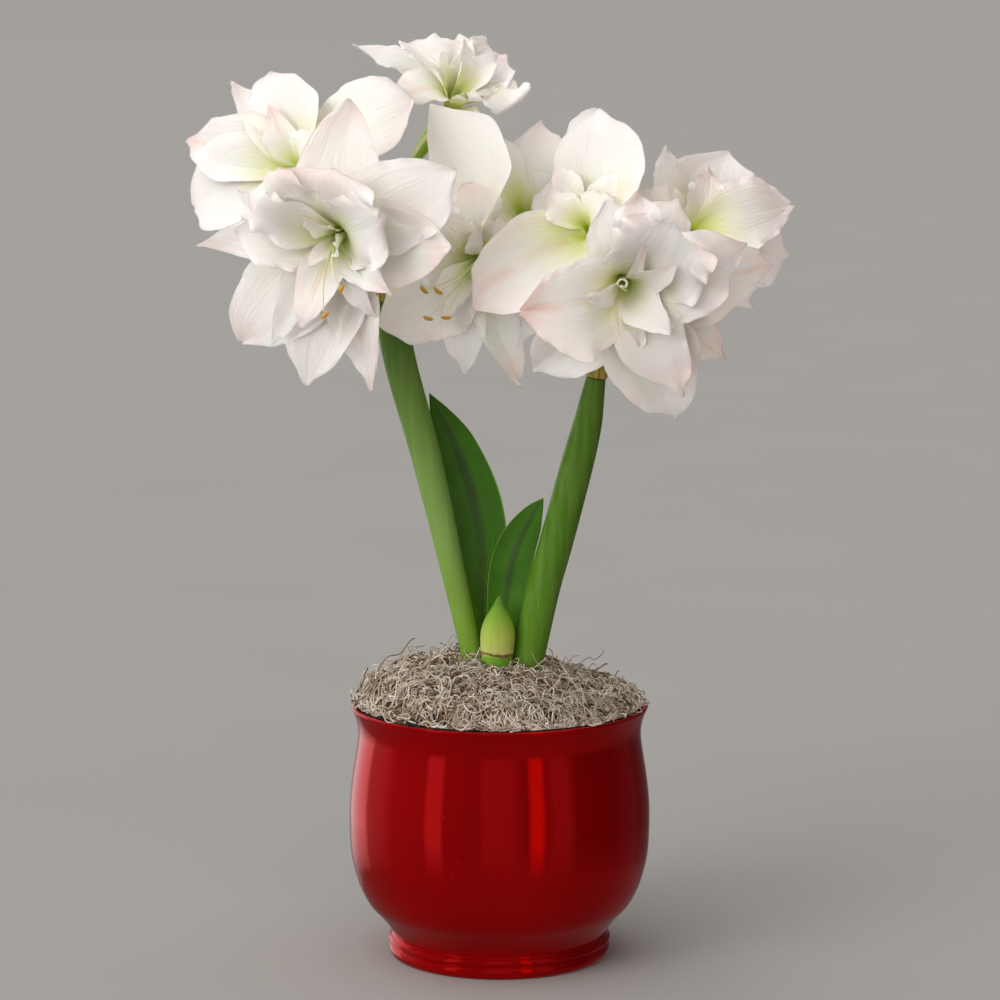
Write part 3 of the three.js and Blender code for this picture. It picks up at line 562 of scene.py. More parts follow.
# ---- moss ---------------------------------------------------------------------------------
DOME = [(0, 203.5), (30, 203.5), (60, 200), (80, 194), (92, 186.5), (97, 179)]  # radius, height
DOME_EDGE = DOME[-1][0]
DOME_SKIRT = (97, 172)
DOME_FLOOR = (0, 171)
LOOSE_Z = 181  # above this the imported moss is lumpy
SUNK = 7.5  # how much lower the moss lies on the right of the pot
STRAND_COUNT = 1780  # in each of the two pieces
STRAND_RADIUS = 0.6
STRAND_STEP = 2.3
STRAND_LIMIT = 100.0  # most strands keep inside the lip of the pot
OVERHANG = 5  # but a few reach this much farther and lie on the lip
TIGHTEST_CURL = 0.85  # turn of a strand in one step
# places and radii of what stands in the moss: both stalks, the bud and two leaves
KEEP_CLEAR = [(-16.5, 0, 8.5), (19, -8, 12.5), (-2.5, -18, 11.5), (-13, 17, 7), (2.5, 3, 6)]


def settled(x, y):
    """How far the moss has sunk at a place: more to the right, and nothing at the lip."""
    return SUNK * float(smooth((x - 10) / 55) * smooth((101 - math.hypot(x, y)) / 30))


def make_mound(fibre):
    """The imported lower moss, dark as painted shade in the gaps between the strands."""
    bm = turned(rounded([*DOME, DOME_SKIRT], 6) + [DOME_FLOOR], 120)
    for vert in bm.verts:
        place = vert.co / MM
        if place.z > LOOSE_Z:
            lump = 2.6 * noise.fractal(place / 9, 0.6, 2.0, 4)
            vert.co.z += MM * (lump - settled(place.x, place.y))
    finish_piece("moss_bed", bm, fibre, ["moss_mound"])


def kept_clear(x, y, limit):
    """A place beside what stands in the moss and within limit, and how far out it is."""
    for cx, cy, clear in KEEP_CLEAR:
        away = math.hypot(x - cx, y - cy)
        if away < clear:
            x = cx + (x - cx) * clear / max(away, 0.1)
            y = cy + (y - cy) * clear / max(away, 0.1)
    out = math.hypot(x, y)
    if out > limit:
        return x * limit / out, y * limit / out, limit
    return x, y, out


def strand_points(draw, spread):
    """One curly strand of moss that loops over the dome."""
    angle = draw.uniform(0, 2 * math.pi)
    share = draw.uniform(0.02, 1) if draw.random() < 0.75 else draw.uniform(0.72, 1)
    radius = spread * math.sqrt(share)  # the moss is thicker towards the lip
    x, y = radius * math.cos(angle), radius * math.sin(angle)
    heading = draw.uniform(0, 2 * math.pi)
    turn = draw.choice((-1, 1)) * draw.uniform(0.08, 0.62)  # at each step
    lift = draw.uniform(0.2, 5.0)  # over the dome
    wave = draw.uniform(0.8, 3.0)
    phase = draw.uniform(0, 6.28)
    rise = draw.uniform(0.4, 1.1) if draw.random() < 0.05 else 0.0  # a few strands stick up
    limit = STRAND_LIMIT + (OVERHANG if draw.random() < 0.12 else 0)
    points = []
    for step in range(draw.randint(8, 20)):
        if draw.random() < 0.1:
            turn = -turn
        turn = min(max(turn + draw.uniform(-0.16, 0.16), -TIGHTEST_CURL), TIGHTEST_CURL)
        heading += turn
        x += STRAND_STEP * math.cos(heading)
        y += STRAND_STEP * math.sin(heading)
        x, y, out = kept_clear(x, y, limit)
        clump = 3.5 * noise.noise(Vector((x / 13, y / 13, 0.4)))
        z = float(np.interp(min(out, DOME_EDGE), *zip(*DOME))) + clump + lift + rise * step
        z += wave * math.sin(phase + 0.75 * step) - 0.025 * x - settled(x, y)
        if out > DOME_EDGE:
            z = max(z, RIM_Z + 0.9)
        points.append((x, y, z))
    return points


def make_strands(name, fibres, count, spread, seed):
    """Loose strands of moss as one curve object."""
    draw = random.Random(seed)
    curve = bpy.data.curves.new(name, "CURVE")
    curve.dimensions = "3D"
    curve.bevel_depth = STRAND_RADIUS * MM
    curve.bevel_resolution = 0
    curve.use_fill_caps = True
    for fibre in fibres:
        curve.materials.append(fibre)
    for _ in range(count):
        points = strand_points(draw, spread)
        spline = curve.splines.new("POLY")
        spline.points.add(len(points) - 1)
        spline.material_index = draw.choice((0, 0, 0, 1, 1, 2))
        thick = draw.uniform(0.5, 1.15)
        for number, (point, made) in enumerate(zip(points, spline.points)):
            made.co = (*(Vector(point) * MM), 1)
            at_end = number in (0, len(points) - 1)
            made.radius = thick * (0.45 if at_end else 1.0)
        spline.use_smooth = True
    place_piece(name, curve)


# ---- stalks, leaves and bud ---------------------------------------------------------------
SCAPES = {
    "left": {
        "path": [
            (-14.8, 0, START_Z), (-28.2, 0, 253), (-49.5, 0, 347), (-68.3, 0, 417), (-75.7, 0, 461),
        ],
        "widths": [(0, 7.4), (0.2, 8), (0.55, 10.2), (0.85, 11.2), (1, 10.8)],
        "collar": 12,
    },
    "right": {
        "path": [
            (16.3, -8, START_Z), (29.9, -5.6, 258), (38.7, -4.2, 290), (47.2, -3, 322), (60, 0, 371),
            (64, 0, 392), (66.7, 0, 407),
        ],
        "widths": [(0, 11.5), (0.5, 11.7), (0.74, 11.2), (0.87, 9.7), (1, 6.8)],
        "collar": 19,
    },
}
SCAPE_DEPTH = 0.86  # of its width
COLLAR_RADIUS = 8.4  # at the upper edge of the bracts
LEAVES = {
    "leaf_tall": {
        "path": [
            (-13, 17, START_Z), (-12.5, 18, 255), (-15.5, 20, 306), (-30, 20, 355), (-49, 13, 395.5),
        ],
        "widths": [(0, 18), (0.3, 33), (0.58, 39), (0.8, 29), (0.92, 14), (1, 0)],
        "cup": 5,
    },
    "leaf_short": {
        "path": [(2.5, 3, START_Z), (3, 4, 240), (9, 4, 280), (21, 0, 308), (30.6, -4, 324)],
        "widths": [(0, 13.5), (0.35, 24), (0.62, 29), (0.8, 23), (0.92, 12), (1, 0)],
        "cup": 4,
    },
    "leaf_young": {
        "path": [(0, 9, START_Z), (-4, 10, 250), (-3.2, 11, 293)],
        "widths": [(0, 9), (0.5, 13), (0.85, 8), (1, 0)],
        "cup": 3,
    },
}
LEAF_THICKNESS = 2.4
BUD_PATH = [(-2.6, -18, START_Z), (-1.7, -17.5, 222), (-1, -17, 240), (0, -16, 257)]
BUD_WIDTHS = [(0, 9.6), (0.2, 10.4), (0.49, 12), (0.62, 11.6), (0.74, 9.3), (0.86, 5.3), (1, 0.8)]
BUD_DEPTH = 0.85  # of its width
SHEATH_PLACE = 0.335  # where the bud's papery collar sits along it
SHEATH_RADIUS, SHEATH_DEPTH, SHEATH_HEIGHT = 11.5, 0.86, 2.2


def make_scape(side, skin):
    scape = SCAPES[side]
    bm = bmesh.new()

    def section(s):
        wide = between(scape["widths"], s)
        return wide, SCAPE_DEPTH * wide

    tube(bm, Path(scape["path"]), section, 90, 48, floor=FOOT_Z)
    finish_piece(f"stalk_{side}", bm, skin, [f"scape_{side}"])


def collar_ends(scape):
    """Direction, foot and top of the dried bracts at the top of a stalk."""
    path = Path(scape["path"])
    way = path.along(np.array([1.0]))[0]
    foot = path.at(np.array([1.0]))[0] + way * GAP
    return way, foot, foot + way * scape["collar"]


def make_bracts(side, paper):
    """Dried bracts wrapped round the top of a stalk, creased lengthwise."""
    scape = SCAPES[side]
    way, foot, top = collar_ends(scape)
    first = scape["widths"][-1][1]
    bm = bmesh.new()

    def section(s):
        radius = first + (COLLAR_RADIUS - first) * smooth(s) + 0.6 * np.sin(np.pi * s)
        return radius, radius

    tube(bm, Path([foot, (foot + top) / 2, top]), section, 26, 40, lobes=0.035)
    for vert in bm.verts:
        axis = Vector((foot + way * np.dot(np.array(vert.co) / MM - foot, way)) * MM)
        out = vert.co - axis
        if out.length > 1 * MM:
            crease = noise.noise(Vector((math.atan2(out.y, out.x) * 3.2, vert.co.z / MM / 16, 3)))
            vert.co = axis + out * (1 + 0.09 * crease)
    finish_piece(f"dried_bracts_{side}", bm, paper, [f"bracts_{side}"])


def make_leaf(name, skin):
    leaf = LEAVES[name]
    path = Path(leaf["path"])

    def surface(t, v):
        way = path.along(t)
        across = np.cross(FRONT, way)
        across /= np.linalg.norm(across, axis=1, keepdims=True)
        half = between(leaf["widths"], t) / 2
        forward = leaf["cup"] * v * v * np.minimum(1, np.minimum(4 * t, 2 * (1 - t)))
        midrib = 0.5 * np.exp(-((v / 0.14) ** 2)) * smooth(6 * t) * smooth(4 * (1 - t))
        points = path.at(t) + (half * v)[:, None] * across
        points[:, 1] -= forward + midrib
        points[:, 2] = np.maximum(points[:, 2], FOOT_Z)
        return points

    bm = bmesh.new()
    lens(bm, surface, LEAF_THICKNESS, 72, 60)
    finish_piece(f"blade_{name}", bm, skin, [name])


def make_bud(skin, paper):
    path = Path(BUD_PATH)

    def section(s):
        wide = between(BUD_WIDTHS, s)
        return wide, BUD_DEPTH * wide

    bm = bmesh.new()
    tube(bm, path, section, 60, 48, lobes=0.02, floor=FOOT_Z)
    finish_piece("young_bud", bm, skin, ["bud_young"])

    def band(s):
        wide = SHEATH_RADIUS + 0.2 * s
        return wide, SHEATH_DEPTH * wide

    bm = bmesh.new()
    foot = path.at(np.array([SHEATH_PLACE]))[0]
    middle, top = foot + (0.1, 0, SHEATH_HEIGHT / 2), foot + (0.2, 0, SHEATH_HEIGHT)
    tube(bm, Path([foot, middle, top]), band, 8, 64)
    for vert in bm.verts:
        vert.co.z += 0.9 * MM * noise.noise(vert.co / MM / 4)
    finish_piece("bud_sheath", bm, paper)


# ---- blooms -------------------------------------------------------------------------------
# A petal is named by the clock angle of its tip seen from in front of its bloom, how far the
# tip reaches out, how far it stands forward of the throat, and its width. Its other terms:
# curl  angle by which the tip turns back        cup    how far the margins turn forward
# keel  fold along the midrib                    twist  turn of the tip about the midrib
# sweep sideways bend of the tip                 skew   how much wider one half is
# ruffle waves of the margin                     blunt  roundness of the tip
# lobe  which territory of its bloom it keeps to
TERMS = {
    "lobe": 0, "curl": 20, "cup": 10, "keel": 0, "twist": 0, "sweep": 0, "skew": 0, "blunt": 1.7,
}


def outer(clock, reach, lift, width, **terms):
    """A petal of the outer whorls, rooted behind the throat."""
    size = {"clock": clock, "reach": reach, "lift": lift, "width": width}
    return {**TERMS, "ruffle": 1.2, "inside": False, **size, **terms}


def inner(clock, reach, lift, width, **terms):
    """A more ruffled petal of the inner whorls, rooted nearer the throat."""
    return {**outer(clock, reach, lift, width), "ruffle": 2, "inside": True, **terms}


# A bloom's territory is where one of its scores x*a + y*b + z*c + d, taken from
# TERRITORY_CENTRE, is the highest of all blooms'. A petal with a lobe number uses that score.
TERRITORY_CENTRE = np.array((0.0, -20.0, 510.0))
BLOOMS = {
    "left_front": {
        "heart": (-103, -75, 512),
        "facing": (-0.3, -0.94, -0.16),
        "territory": ((-251, -191, -22, -12050), (-151, -118, 17, -3960)),
        "stalk": ("left", (-1, -1)),
        "petals": [
            outer(9, 94, 4, 64, curl=25, cup=18, keel=8, blunt=1.6),
            outer(62, 94, 4, 62, lobe=1, curl=35, cup=-8, blunt=3),
            outer(99, 80, 12, 62, lobe=1, curl=30, cup=20, sweep=-8, blunt=2.2),
            outer(168, 108, 2, 46, curl=15, cup=25, keel=12, sweep=8, skew=-0.2, blunt=1.3),
            outer(196, 110, 10, 66, cup=20, keel=6, blunt=1.5),
            outer(225, 114, 4, 62, curl=25, cup=15, sweep=2, blunt=2.4),
            outer(212, 98, -8, 44, cup=20),
            outer(268, 110, -4, 40, curl=-10, cup=30, sweep=-6, blunt=1.4),
            inner(14, 55, 44, 70, curl=50, cup=5, ruffle=3, blunt=5),
            inner(66, 48, 38, 52, lobe=1, curl=65, cup=5, ruffle=4, blunt=5),
            inner(324, 62, 42, 44, curl=60, cup=15, ruffle=3.5, blunt=3),
            inner(303, 62, 40, 34, curl=60, ruffle=3, blunt=2),
            inner(275, 66, 38, 42, curl=40, cup=20, keel=4),
            inner(197, 58, 44, 32, cup=20, keel=6, ruffle=1),
            inner(213, 86, 20, 28, cup=40, keel=6, ruffle=1),
            inner(121, 57, 44, 30, curl=15, cup=15, keel=4, ruffle=1, blunt=1.4),
            inner(152, 60, 26, 24, curl=10, cup=60, keel=4, ruffle=1),
        ],
        "petaloids": [
            inner(340, 24, 50, 15, curl=-10, cup=30, ruffle=1),
            inner(100, 16, 50, 13, curl=-10, cup=30, ruffle=1),
            inner(215, 16, 46, 12, curl=-10, cup=30, ruffle=1),
        ],
    },
    "left_side": {
        "heart": (-136, -12, 552),
        "facing": (-0.44, -0.83, 0.35),
        "territory": ((-264, -35, 50, -11660), (-164, -78, 85, -5130)),
        "stalk": ("left", (-1, 1)),
        "petals": [
            outer(342, 76, 4, 62, cup=12, keel=4, sweep=-12, skew=0.15, blunt=2.1),
            outer(312, 92, -6, 40, curl=10, cup=15, blunt=1.4),
            outer(280, 96, 2, 54, curl=15, cup=18, keel=6, blunt=1.8),
            outer(262, 84, -2, 50, curl=15, cup=20),
            outer(250, 89, -4, 70, curl=30, cup=20, blunt=4),
            outer(54, 96, -9, 62, lobe=1, curl=80, cup=-25, sweep=8, blunt=3),
            inner(334, 40, 22, 26, curl=15, cup=15, ruffle=1, blunt=1.4),
            outer(118, 60, -4, 44),
            outer(185, 72, -4, 50),
        ],
        "petaloids": [
            inner(60, 30, 24, 26, curl=30, cup=15),
        ],
    },
    "left_top": {
        "heart": (-31, 18, 598),
        "facing": (0.45, -0.6, 0.66),
        "territory": ((17, 178, 59, 4340), (27, 154, 45, 5330)),
        "stalk": ("left", (1, 1)),
        "petals": [
            outer(328, 82, -26, 36, curl=40, cup=30, blunt=1.5),
            outer(331, 54, 2, 46, curl=30, cup=12, keel=10, skew=-0.1, blunt=1.8),
            outer(14, 42, 22, 28, curl=10, cup=20, twist=55, ruffle=2, blunt=2),
            outer(62, 36, 26, 44, curl=40, cup=30, ruffle=3, blunt=4),
            outer(166, 44, 22, 56, curl=50, cup=15, ruffle=3, blunt=5),
            outer(200, 58, -8, 54, lobe=1, curl=40, cup=10),
            outer(285, 48, -14, 40, curl=40, cup=20),
            outer(20, 40, 4, 40, curl=40, cup=15),
        ],
        "petaloids": [
            inner(344, 20, 38, 16, curl=-10, cup=40, ruffle=1, blunt=1.3),
            inner(70, 22, 34, 24, curl=0, cup=40, ruffle=1, blunt=1.4),
            inner(150, 26, 20, 24, curl=40, cup=20),
        ],
    },
    "left_inner": {
        "heart": (-13, -24, 492),
        "facing": (-0.25, -0.93, -0.27),
        "territory": ((9, 24, -49, 8140), (14, -18, -14, 7210), (-49, -17, 29, 6520)),
        "stalk": ("left", (1, -1)),
        "petals": [
            outer(240, 84, 22, 70, cup=15, blunt=2.6),
            outer(190, 82, 10, 36, curl=25, cup=30, keel=8),
            outer(168, 96, 8, 40, cup=50, keel=6, twist=50, sweep=-6, blunt=1.5),
            outer(336, 54, 18, 30, lobe=1, curl=60, cup=15, ruffle=3, blunt=3),
            outer(340, 104, -42, 70, lobe=2, curl=5, cup=12, keel=6, skew=0.55, blunt=3),
            outer(357, 50, -8, 50, lobe=1, curl=40, cup=20, ruffle=3, blunt=5),
            outer(290, 60, 0, 50, curl=30, cup=20),
            outer(105, 36, -12, 36, curl=30),
            outer(50, 40, -6, 36, curl=30),
            inner(190, 46, 24, 18, cup=30, ruffle=1),
        ],
        "petaloids": [
            inner(25, 30, 16, 20, curl=30, cup=30, ruffle=1),
            inner(255, 26, 46, 16, curl=60, cup=30),
            inner(200, 30, 42, 20, curl=60, cup=40),
        ],
    },
    "right_front": {
        "heart": (82, -75, 482),
        "facing": (0.1, -0.93, -0.34),
        "territory": ((194, -131, -118, -7550), (101, -108, -99, -680)),
        "stalk": ("right", (1, -1)),
        "petals": [
            outer(158, 116, 4, 70, cup=22, keel=8, blunt=1.5),
            outer(222, 90, 6, 64, lobe=1, cup=12, keel=10, blunt=2.2),
            outer(128, 92, 8, 52, curl=15, cup=35, keel=16, blunt=1.6),
            outer(84, 106, -2, 62, curl=30, cup=15, blunt=1.8),
            outer(343, 68, 16, 38, curl=40, blunt=4),
            outer(30, 68, 2, 60, curl=40),
            inner(264, 74, 30, 76, lobe=1, curl=25, cup=15, keel=4, ruffle=2.5),
            inner(2, 76, 32, 36, curl=60, ruffle=4, blunt=3),
            inner(27, 60, 32, 72, curl=70, ruffle=3.5, blunt=6),
            inner(72, 82, 26, 66, curl=30, keel=4, sweep=-12, blunt=2.4),
            inner(150, 82, 26, 50, cup=20, keel=5, ruffle=1.5),
            inner(44, 40, 44, 24, cup=25, ruffle=1, blunt=1.6),
            inner(126, 34, 44, 32, cup=20, ruffle=1, blunt=1.3),
            inner(10, 46, 38, 9, curl=0, cup=15, ruffle=0.3),
            inner(26, 46, 34, 24, blunt=3),
            inner(165, 42, 30, 18, cup=40, ruffle=1),
        ],
        "petaloids": [
            inner(282, 32, 42, 20, curl=30, cup=20, ruffle=1, blunt=1.3),
        ],
    },
    "right_side": {
        "heart": (130, -8, 508),
        "facing": (0.42, -0.86, 0.28),
        "territory": ((300, 178, 17, -10540),),
        "stalk": ("right", (1, 1)),
        "petals": [
            outer(28, 66, 6, 76, curl=15, cup=15, keel=8, sweep=6, blunt=1.6),
            outer(104, 78, 2, 66, curl=25, cup=12, blunt=2.8),
            outer(143, 68, -4, 56, cup=15),
            outer(71, 66, -10, 40, curl=10, cup=20),
            outer(353, 62, -10, 40, curl=10, cup=20),
            inner(80, 72, 20, 54, curl=25, cup=12, ruffle=1.5),
            outer(290, 56, -4, 44, curl=30),
            outer(200, 62, -4, 48, curl=30),
            inner(10, 40, 22, 30, curl=30, cup=15),
        ],
        "petaloids": [],
    },
    "right_back": {
        "heart": (17, 10, 519),
        "facing": (-0.1, -0.75, 0.65),
        "territory": ((49, 167, 25, 6790),),
        "stalk": ("right", (-1, 1)),
        "petals": [
            outer(8, 62, 22, 50, curl=10, cup=8, blunt=3),
            outer(311, 36, 48, 38, curl=20, cup=15, blunt=1.8),
            outer(76, 58, -12, 44, curl=40),
            outer(130, 44, -8, 40, curl=30, cup=12),
            outer(190, 40, -8, 40, curl=30),
            outer(255, 46, -8, 40, curl=30, cup=12),
            inner(60, 34, 20, 26, curl=40, cup=15),
        ],
        "petaloids": [],
    },
    "right_inner": {
        "heart": (60, -24, 512),
        "facing": (-0.42, -0.82, 0.37),
        "territory": ((113, 50, 25, 6650), (56, -55, -50, 6570)),
        "stalk": ("right", (-1, -1)),
        "petals": [
            outer(3, 88, 0, 76, cup=15, keel=6, sweep=-14, skew=0.25, blunt=2.6),
            outer(305, 56, 0, 48, curl=25, cup=12),
            outer(219, 94, 38, 84, lobe=1, curl=25, cup=8, keel=8, skew=-0.12, blunt=2.4),
            outer(205, 94, -6, 50, lobe=1),
            outer(60, 56, -4, 50),
            outer(130, 56, -4, 50),
        ],
        "petaloids": [
            inner(300, 30, 18, 26, curl=30, cup=15),
            inner(60, 30, 18, 26, curl=30, cup=15),
        ],
    },
}
STAMENS = {  # clock, reach and lift of each anther
    "left_front": [(175, 43, 56), (130, 46, 39), (150, 30, 52)],
    "left_inner": [(248, 18, 50), (206, 28, 51), (256, 28, 48), (224, 35, 53)],
}
FILAMENT = round_section((0, 0.9), (0.7, 0.65), (1, 0.4))
ANTHER = round_section((0, 0.4), (0.25, 1.2), (0.75, 1.2), (1, 0.4))
HALF_ANTHER = 3.6  # half its length
STYLE = round_section((0, 1.0), (0.9, 0.8), (1, 0.9))
STYLE_BLOOM, STYLE_TIP = "right_front", (337, 13, 33)
STYLE_CURL = ((2.6, 3.6), (9, 1.6))  # turn in radians, and radius, where its curl starts and ends
PEDICEL = round_section((0, 2.6), (0.66, 2.6), (0.84, 5.4), (1, 3.4))  # it swells at the ovary
PEDICEL_OFFSET = 3.2  # from the middle of its stalk, to a side and in depth
BLOOM_TUBE = round_section((0, 3.6), (0.6, 5.2), (1, 3))
BLOOM_TUBE_LENGTH = 12
OVARY_LOBES = 0.06

PETAL_THICKNESS = 0.9  # at its root
LONG_PETAL = 50  # a reach past which a petal gets more rows and a larger hook
BROAD_PETAL = 36  # a width past which it gets more columns
OUTER_ROOT = ((3, -14), (9, 14))  # radius and depth of a midrib's first two control points
INNER_ROOT = ((2, -8), (4, 20))
ROLL = 0.45  # share of its reach over which a petal's tip turns back
CLAW = 0.16  # width of its root, as a share of its full width
ROOT_CUP = 75  # angle by which its margins turn forward at the root, in degrees
OVERLAP = 4.0  # of two neighbours, one lies this far ahead and the other behind
RUFFLE_WAVES = 2.6  # along a margin
# A petal starts to bend back WALL_REACH from the territory of another bloom. It never comes
# nearer than WALL_FLOOR, and LAYER_STEP more for each layer, so that bent petals lie apart.
WALL_REACH = 12.0
WALL_FLOOR = 1.1
LAYER_STEP = 0.9
LAYERS = 6  # after which the next petal takes the first one again


def bloom_frame(name):
    """Throat of a bloom, and its directions forward, up and right."""
    forward = unit(BLOOMS[name]["facing"])
    up = unit(UP - forward * np.dot(UP, forward))
    return np.array(BLOOMS[name]["heart"], float), forward, up, np.cross(up, forward)


def clock_way(clock, up, right):
    """The way out from the axis of a bloom at a clock angle."""
    turn = math.radians(clock)
    return up * math.cos(turn) + right * math.sin(turn)


def bow(name, petal):
    """How far a petal bows forward: in each whorl every second one lies ahead of the others."""
    whorl = [other for other in BLOOMS[name]["petals"] if other["inside"] == petal["inside"]]
    whorl.sort(key=lambda other: other["clock"])
    if petal not in whorl:
        return 0.0
    return OVERLAP if whorl.index(petal) % 2 else -OVERLAP


def half_width(petal, phase, t, side):
    """Half the width of a petal: a narrow claw, a full blade, and margins that wander a little."""
    past = np.clip((t - 0.5) / 0.5, 0, 1)
    opened = CLAW + (1 - CLAW) * smooth(t / 0.52)
    profile = opened * np.clip(1 - past ** petal["blunt"], 0, 1) ** 0.9
    profile *= 1 - 0.4 * smooth((t - 0.84) / 0.16)
    uneven = 0.05 * np.sin(8 * t + phase[0] + 2 * side) + 0.03 * np.sin(19 * t + phase[1] * side)
    skew = 1 + (petal["skew"] * side + uneven) * smooth(t / 0.4)
    return petal["width"] / 2 * profile * skew + 0.35 * (t < 0.995)


def margin_waves(petal, phase, number, t, v):
    """How far the margins wave forward: broad ruffles, a frill, and a crimp at the very edge."""
    side = np.sign(v)
    wave = np.sin(2 * np.pi * (RUFFLE_WAVES * t + 0.13 * number) + 1.1 * side)
    frill = np.sin(31 * t + phase[2] + 1.6 * side + 1.5 * np.sin(9 * t + phase[3]))
    crimp = np.sin(58 * t + phase[3] + 2.4 * side) * np.sin(7 * t + phase[4])
    margin = 1.2 * np.abs(v) ** 3 * wave + 1.0 * v**6 * frill + 0.7 * v**8 * crimp
    return petal["ruffle"] * smooth((t - 0.2) / 0.4) * margin


def blade_relief(petal, phase, t, v):
    """How far the blade rises: slow swells, side ribs, and the groove along its midrib."""
    swell = np.sin(5.6 * t + 2.2 * v + phase[4]) + 0.6 * np.sin(10.5 * t - 3.1 * v + phase[5])
    groove = 1.1 * np.exp(-((v / 0.11) ** 2))
    ribs = 0.35 * np.cos(8.5 * v + 0.6 * np.sin(4 * t + phase[0])) - groove
    return petal["width"] / 60 * (1.3 * swell * smooth((t - 0.15) / 0.4) + ribs * np.sin(np.pi * t))


def petal_surface(name, petal, number):
    """The middle surface of a petal, as a function of t from root to tip and v across."""
    throat, forward, up, right = bloom_frame(name)
    outward = clock_way(petal["clock"], up, right)
    aside = np.cross(outward, forward)
    start, rise = INNER_ROOT if petal["inside"] else OUTER_ROOT
    reach, lift, curl = petal["reach"], petal["lift"], math.radians(petal["curl"])
    roll = ROLL * reach
    turned_back = (reach - roll * math.cos(curl), lift + roll * math.sin(curl))
    ahead = bow(name, petal)
    draw = random.Random(f"{name} {number}")
    phase = [draw.uniform(0, 2 * math.pi) for _ in range(6)]
    hook = draw.uniform(-5, 7) if reach > LONG_PETAL else draw.uniform(-2, 4)

    def surface(t, v):
        middle, way = bezier((start, rise, turned_back, (reach, lift)), t)
        half = half_width(petal, phase, t, np.sign(v))
        near_root = (1 - t) ** 2
        cup = np.radians(ROOT_CUP * near_root + petal["cup"] * (1 - near_root))
        cup = np.where(np.abs(cup) < 1e-3, 1e-3, cup)
        keel = math.tan(math.radians(petal["keel"])) * (np.sqrt(v * v + 0.01) - 0.1)
        hooked = hook * np.clip((t - 0.78) / 0.22, 0, 1) ** 2
        detail = blade_relief(petal, phase, t, v) + hooked
        sideways = half * np.sin(cup * v) / cup
        raised = half * (1 - np.cos(cup * v)) / cup + keel * half
        raised = raised + margin_waves(petal, phase, number, t, v) + detail
        twist = math.radians(petal["twist"]) * smooth(t)
        across = sideways * np.cos(twist) - raised * np.sin(twist) + petal["sweep"] * t * t
        lifted = sideways * np.sin(twist) + raised * np.cos(twist)
        depth = middle[:, 1] + lifted * way[:, 0] + ahead * np.sin(np.pi * t**0.8)
        points = throat + (middle[:, 0] - lifted * way[:, 1])[:, None] * outward
        points += depth[:, None] * forward + across[:, None] * aside
        return kept_inside(points, name, petal["lobe"], number % LAYERS)

    return surface


def kept_inside(points, name, lobe, layer):
    """Bends points of a petal back from the territories of the other blooms."""
    own = np.array(BLOOMS[name]["territory"][lobe], float)
    floor = WALL_FLOOR + LAYER_STEP * layer
    room = WALL_REACH - floor
    for other, bloom in BLOOMS.items():
        if other == name:
            continue
        for score in bloom["territory"]:
            wall = own - score
            slope = np.linalg.norm(wall[:3])
            away = wall[:3] / slope
            distance = (points - TERRITORY_CENTRE) @ away + wall[3] / slope
            kept = floor + room * np.exp(np.minimum(distance - WALL_REACH, 0) / room)
            push = np.where(distance < WALL_REACH, kept - distance, 0)
            points = points + push[:, None] * away
    return points


def make_bloom(name, tissue):
    """All petals of a bloom, each with a u of its own number so that no two look the same."""
    bloom = BLOOMS[name]
    bm = bmesh.new()
    for number, petal in enumerate(bloom["petals"] + bloom["petaloids"]):
        rows = 50 if petal["reach"] > LONG_PETAL else 26
        columns = 56 if petal["width"] > BROAD_PETAL else 36
        lens(bm, petal_surface(name, petal, number), PETAL_THICKNESS, columns, rows, number)
    finish_piece(f"petals_{name}", bm, tissue, [f"bloom_{name}"])


def make_stamens(tissue, pollen):
    """Filaments that curve out of the throats, anthers lying across their tips, and a style."""
    stalks, sacs = bmesh.new(), bmesh.new()
    for name, tips in STAMENS.items():
        throat, forward, up, right = bloom_frame(name)
        for clock, reach, lift in tips:
            outward = clock_way(clock, up, right)
            tip = throat + outward * reach + forward * lift
            root, rise = throat - forward * 4, throat + forward * lift * 0.7
            places, _ = bezier((root, rise, tip - outward * reach * 0.4, tip), np.linspace(0, 1, 7))
            tube(stalks, Path(places), FILAMENT, 24, 10)
            lie = HALF_ANTHER * unit(np.cross(outward, forward) + 0.5 * outward)
            sac = [tip - lie - forward, tip + forward * 0.4, tip + lie - forward]
            tube(sacs, Path(sac), ANTHER, 12, 12)
    throat, forward, up, right = bloom_frame(STYLE_BLOOM)
    clock, reach, lift = STYLE_TIP
    middle = throat + clock_way(clock, up, right) * reach + forward * lift
    curl = [
        middle + radius * (right * math.cos(turn) - up * math.sin(turn)) + forward * 0.6 * turn
        for turn, radius in np.linspace(*STYLE_CURL, 9)
    ]
    tube(stalks, Path([throat, throat + forward * lift * 0.6, *curl]), STYLE, 60, 10)
    finish_piece("filaments", stalks, tissue)
    finish_piece("anthers", sacs, pollen)


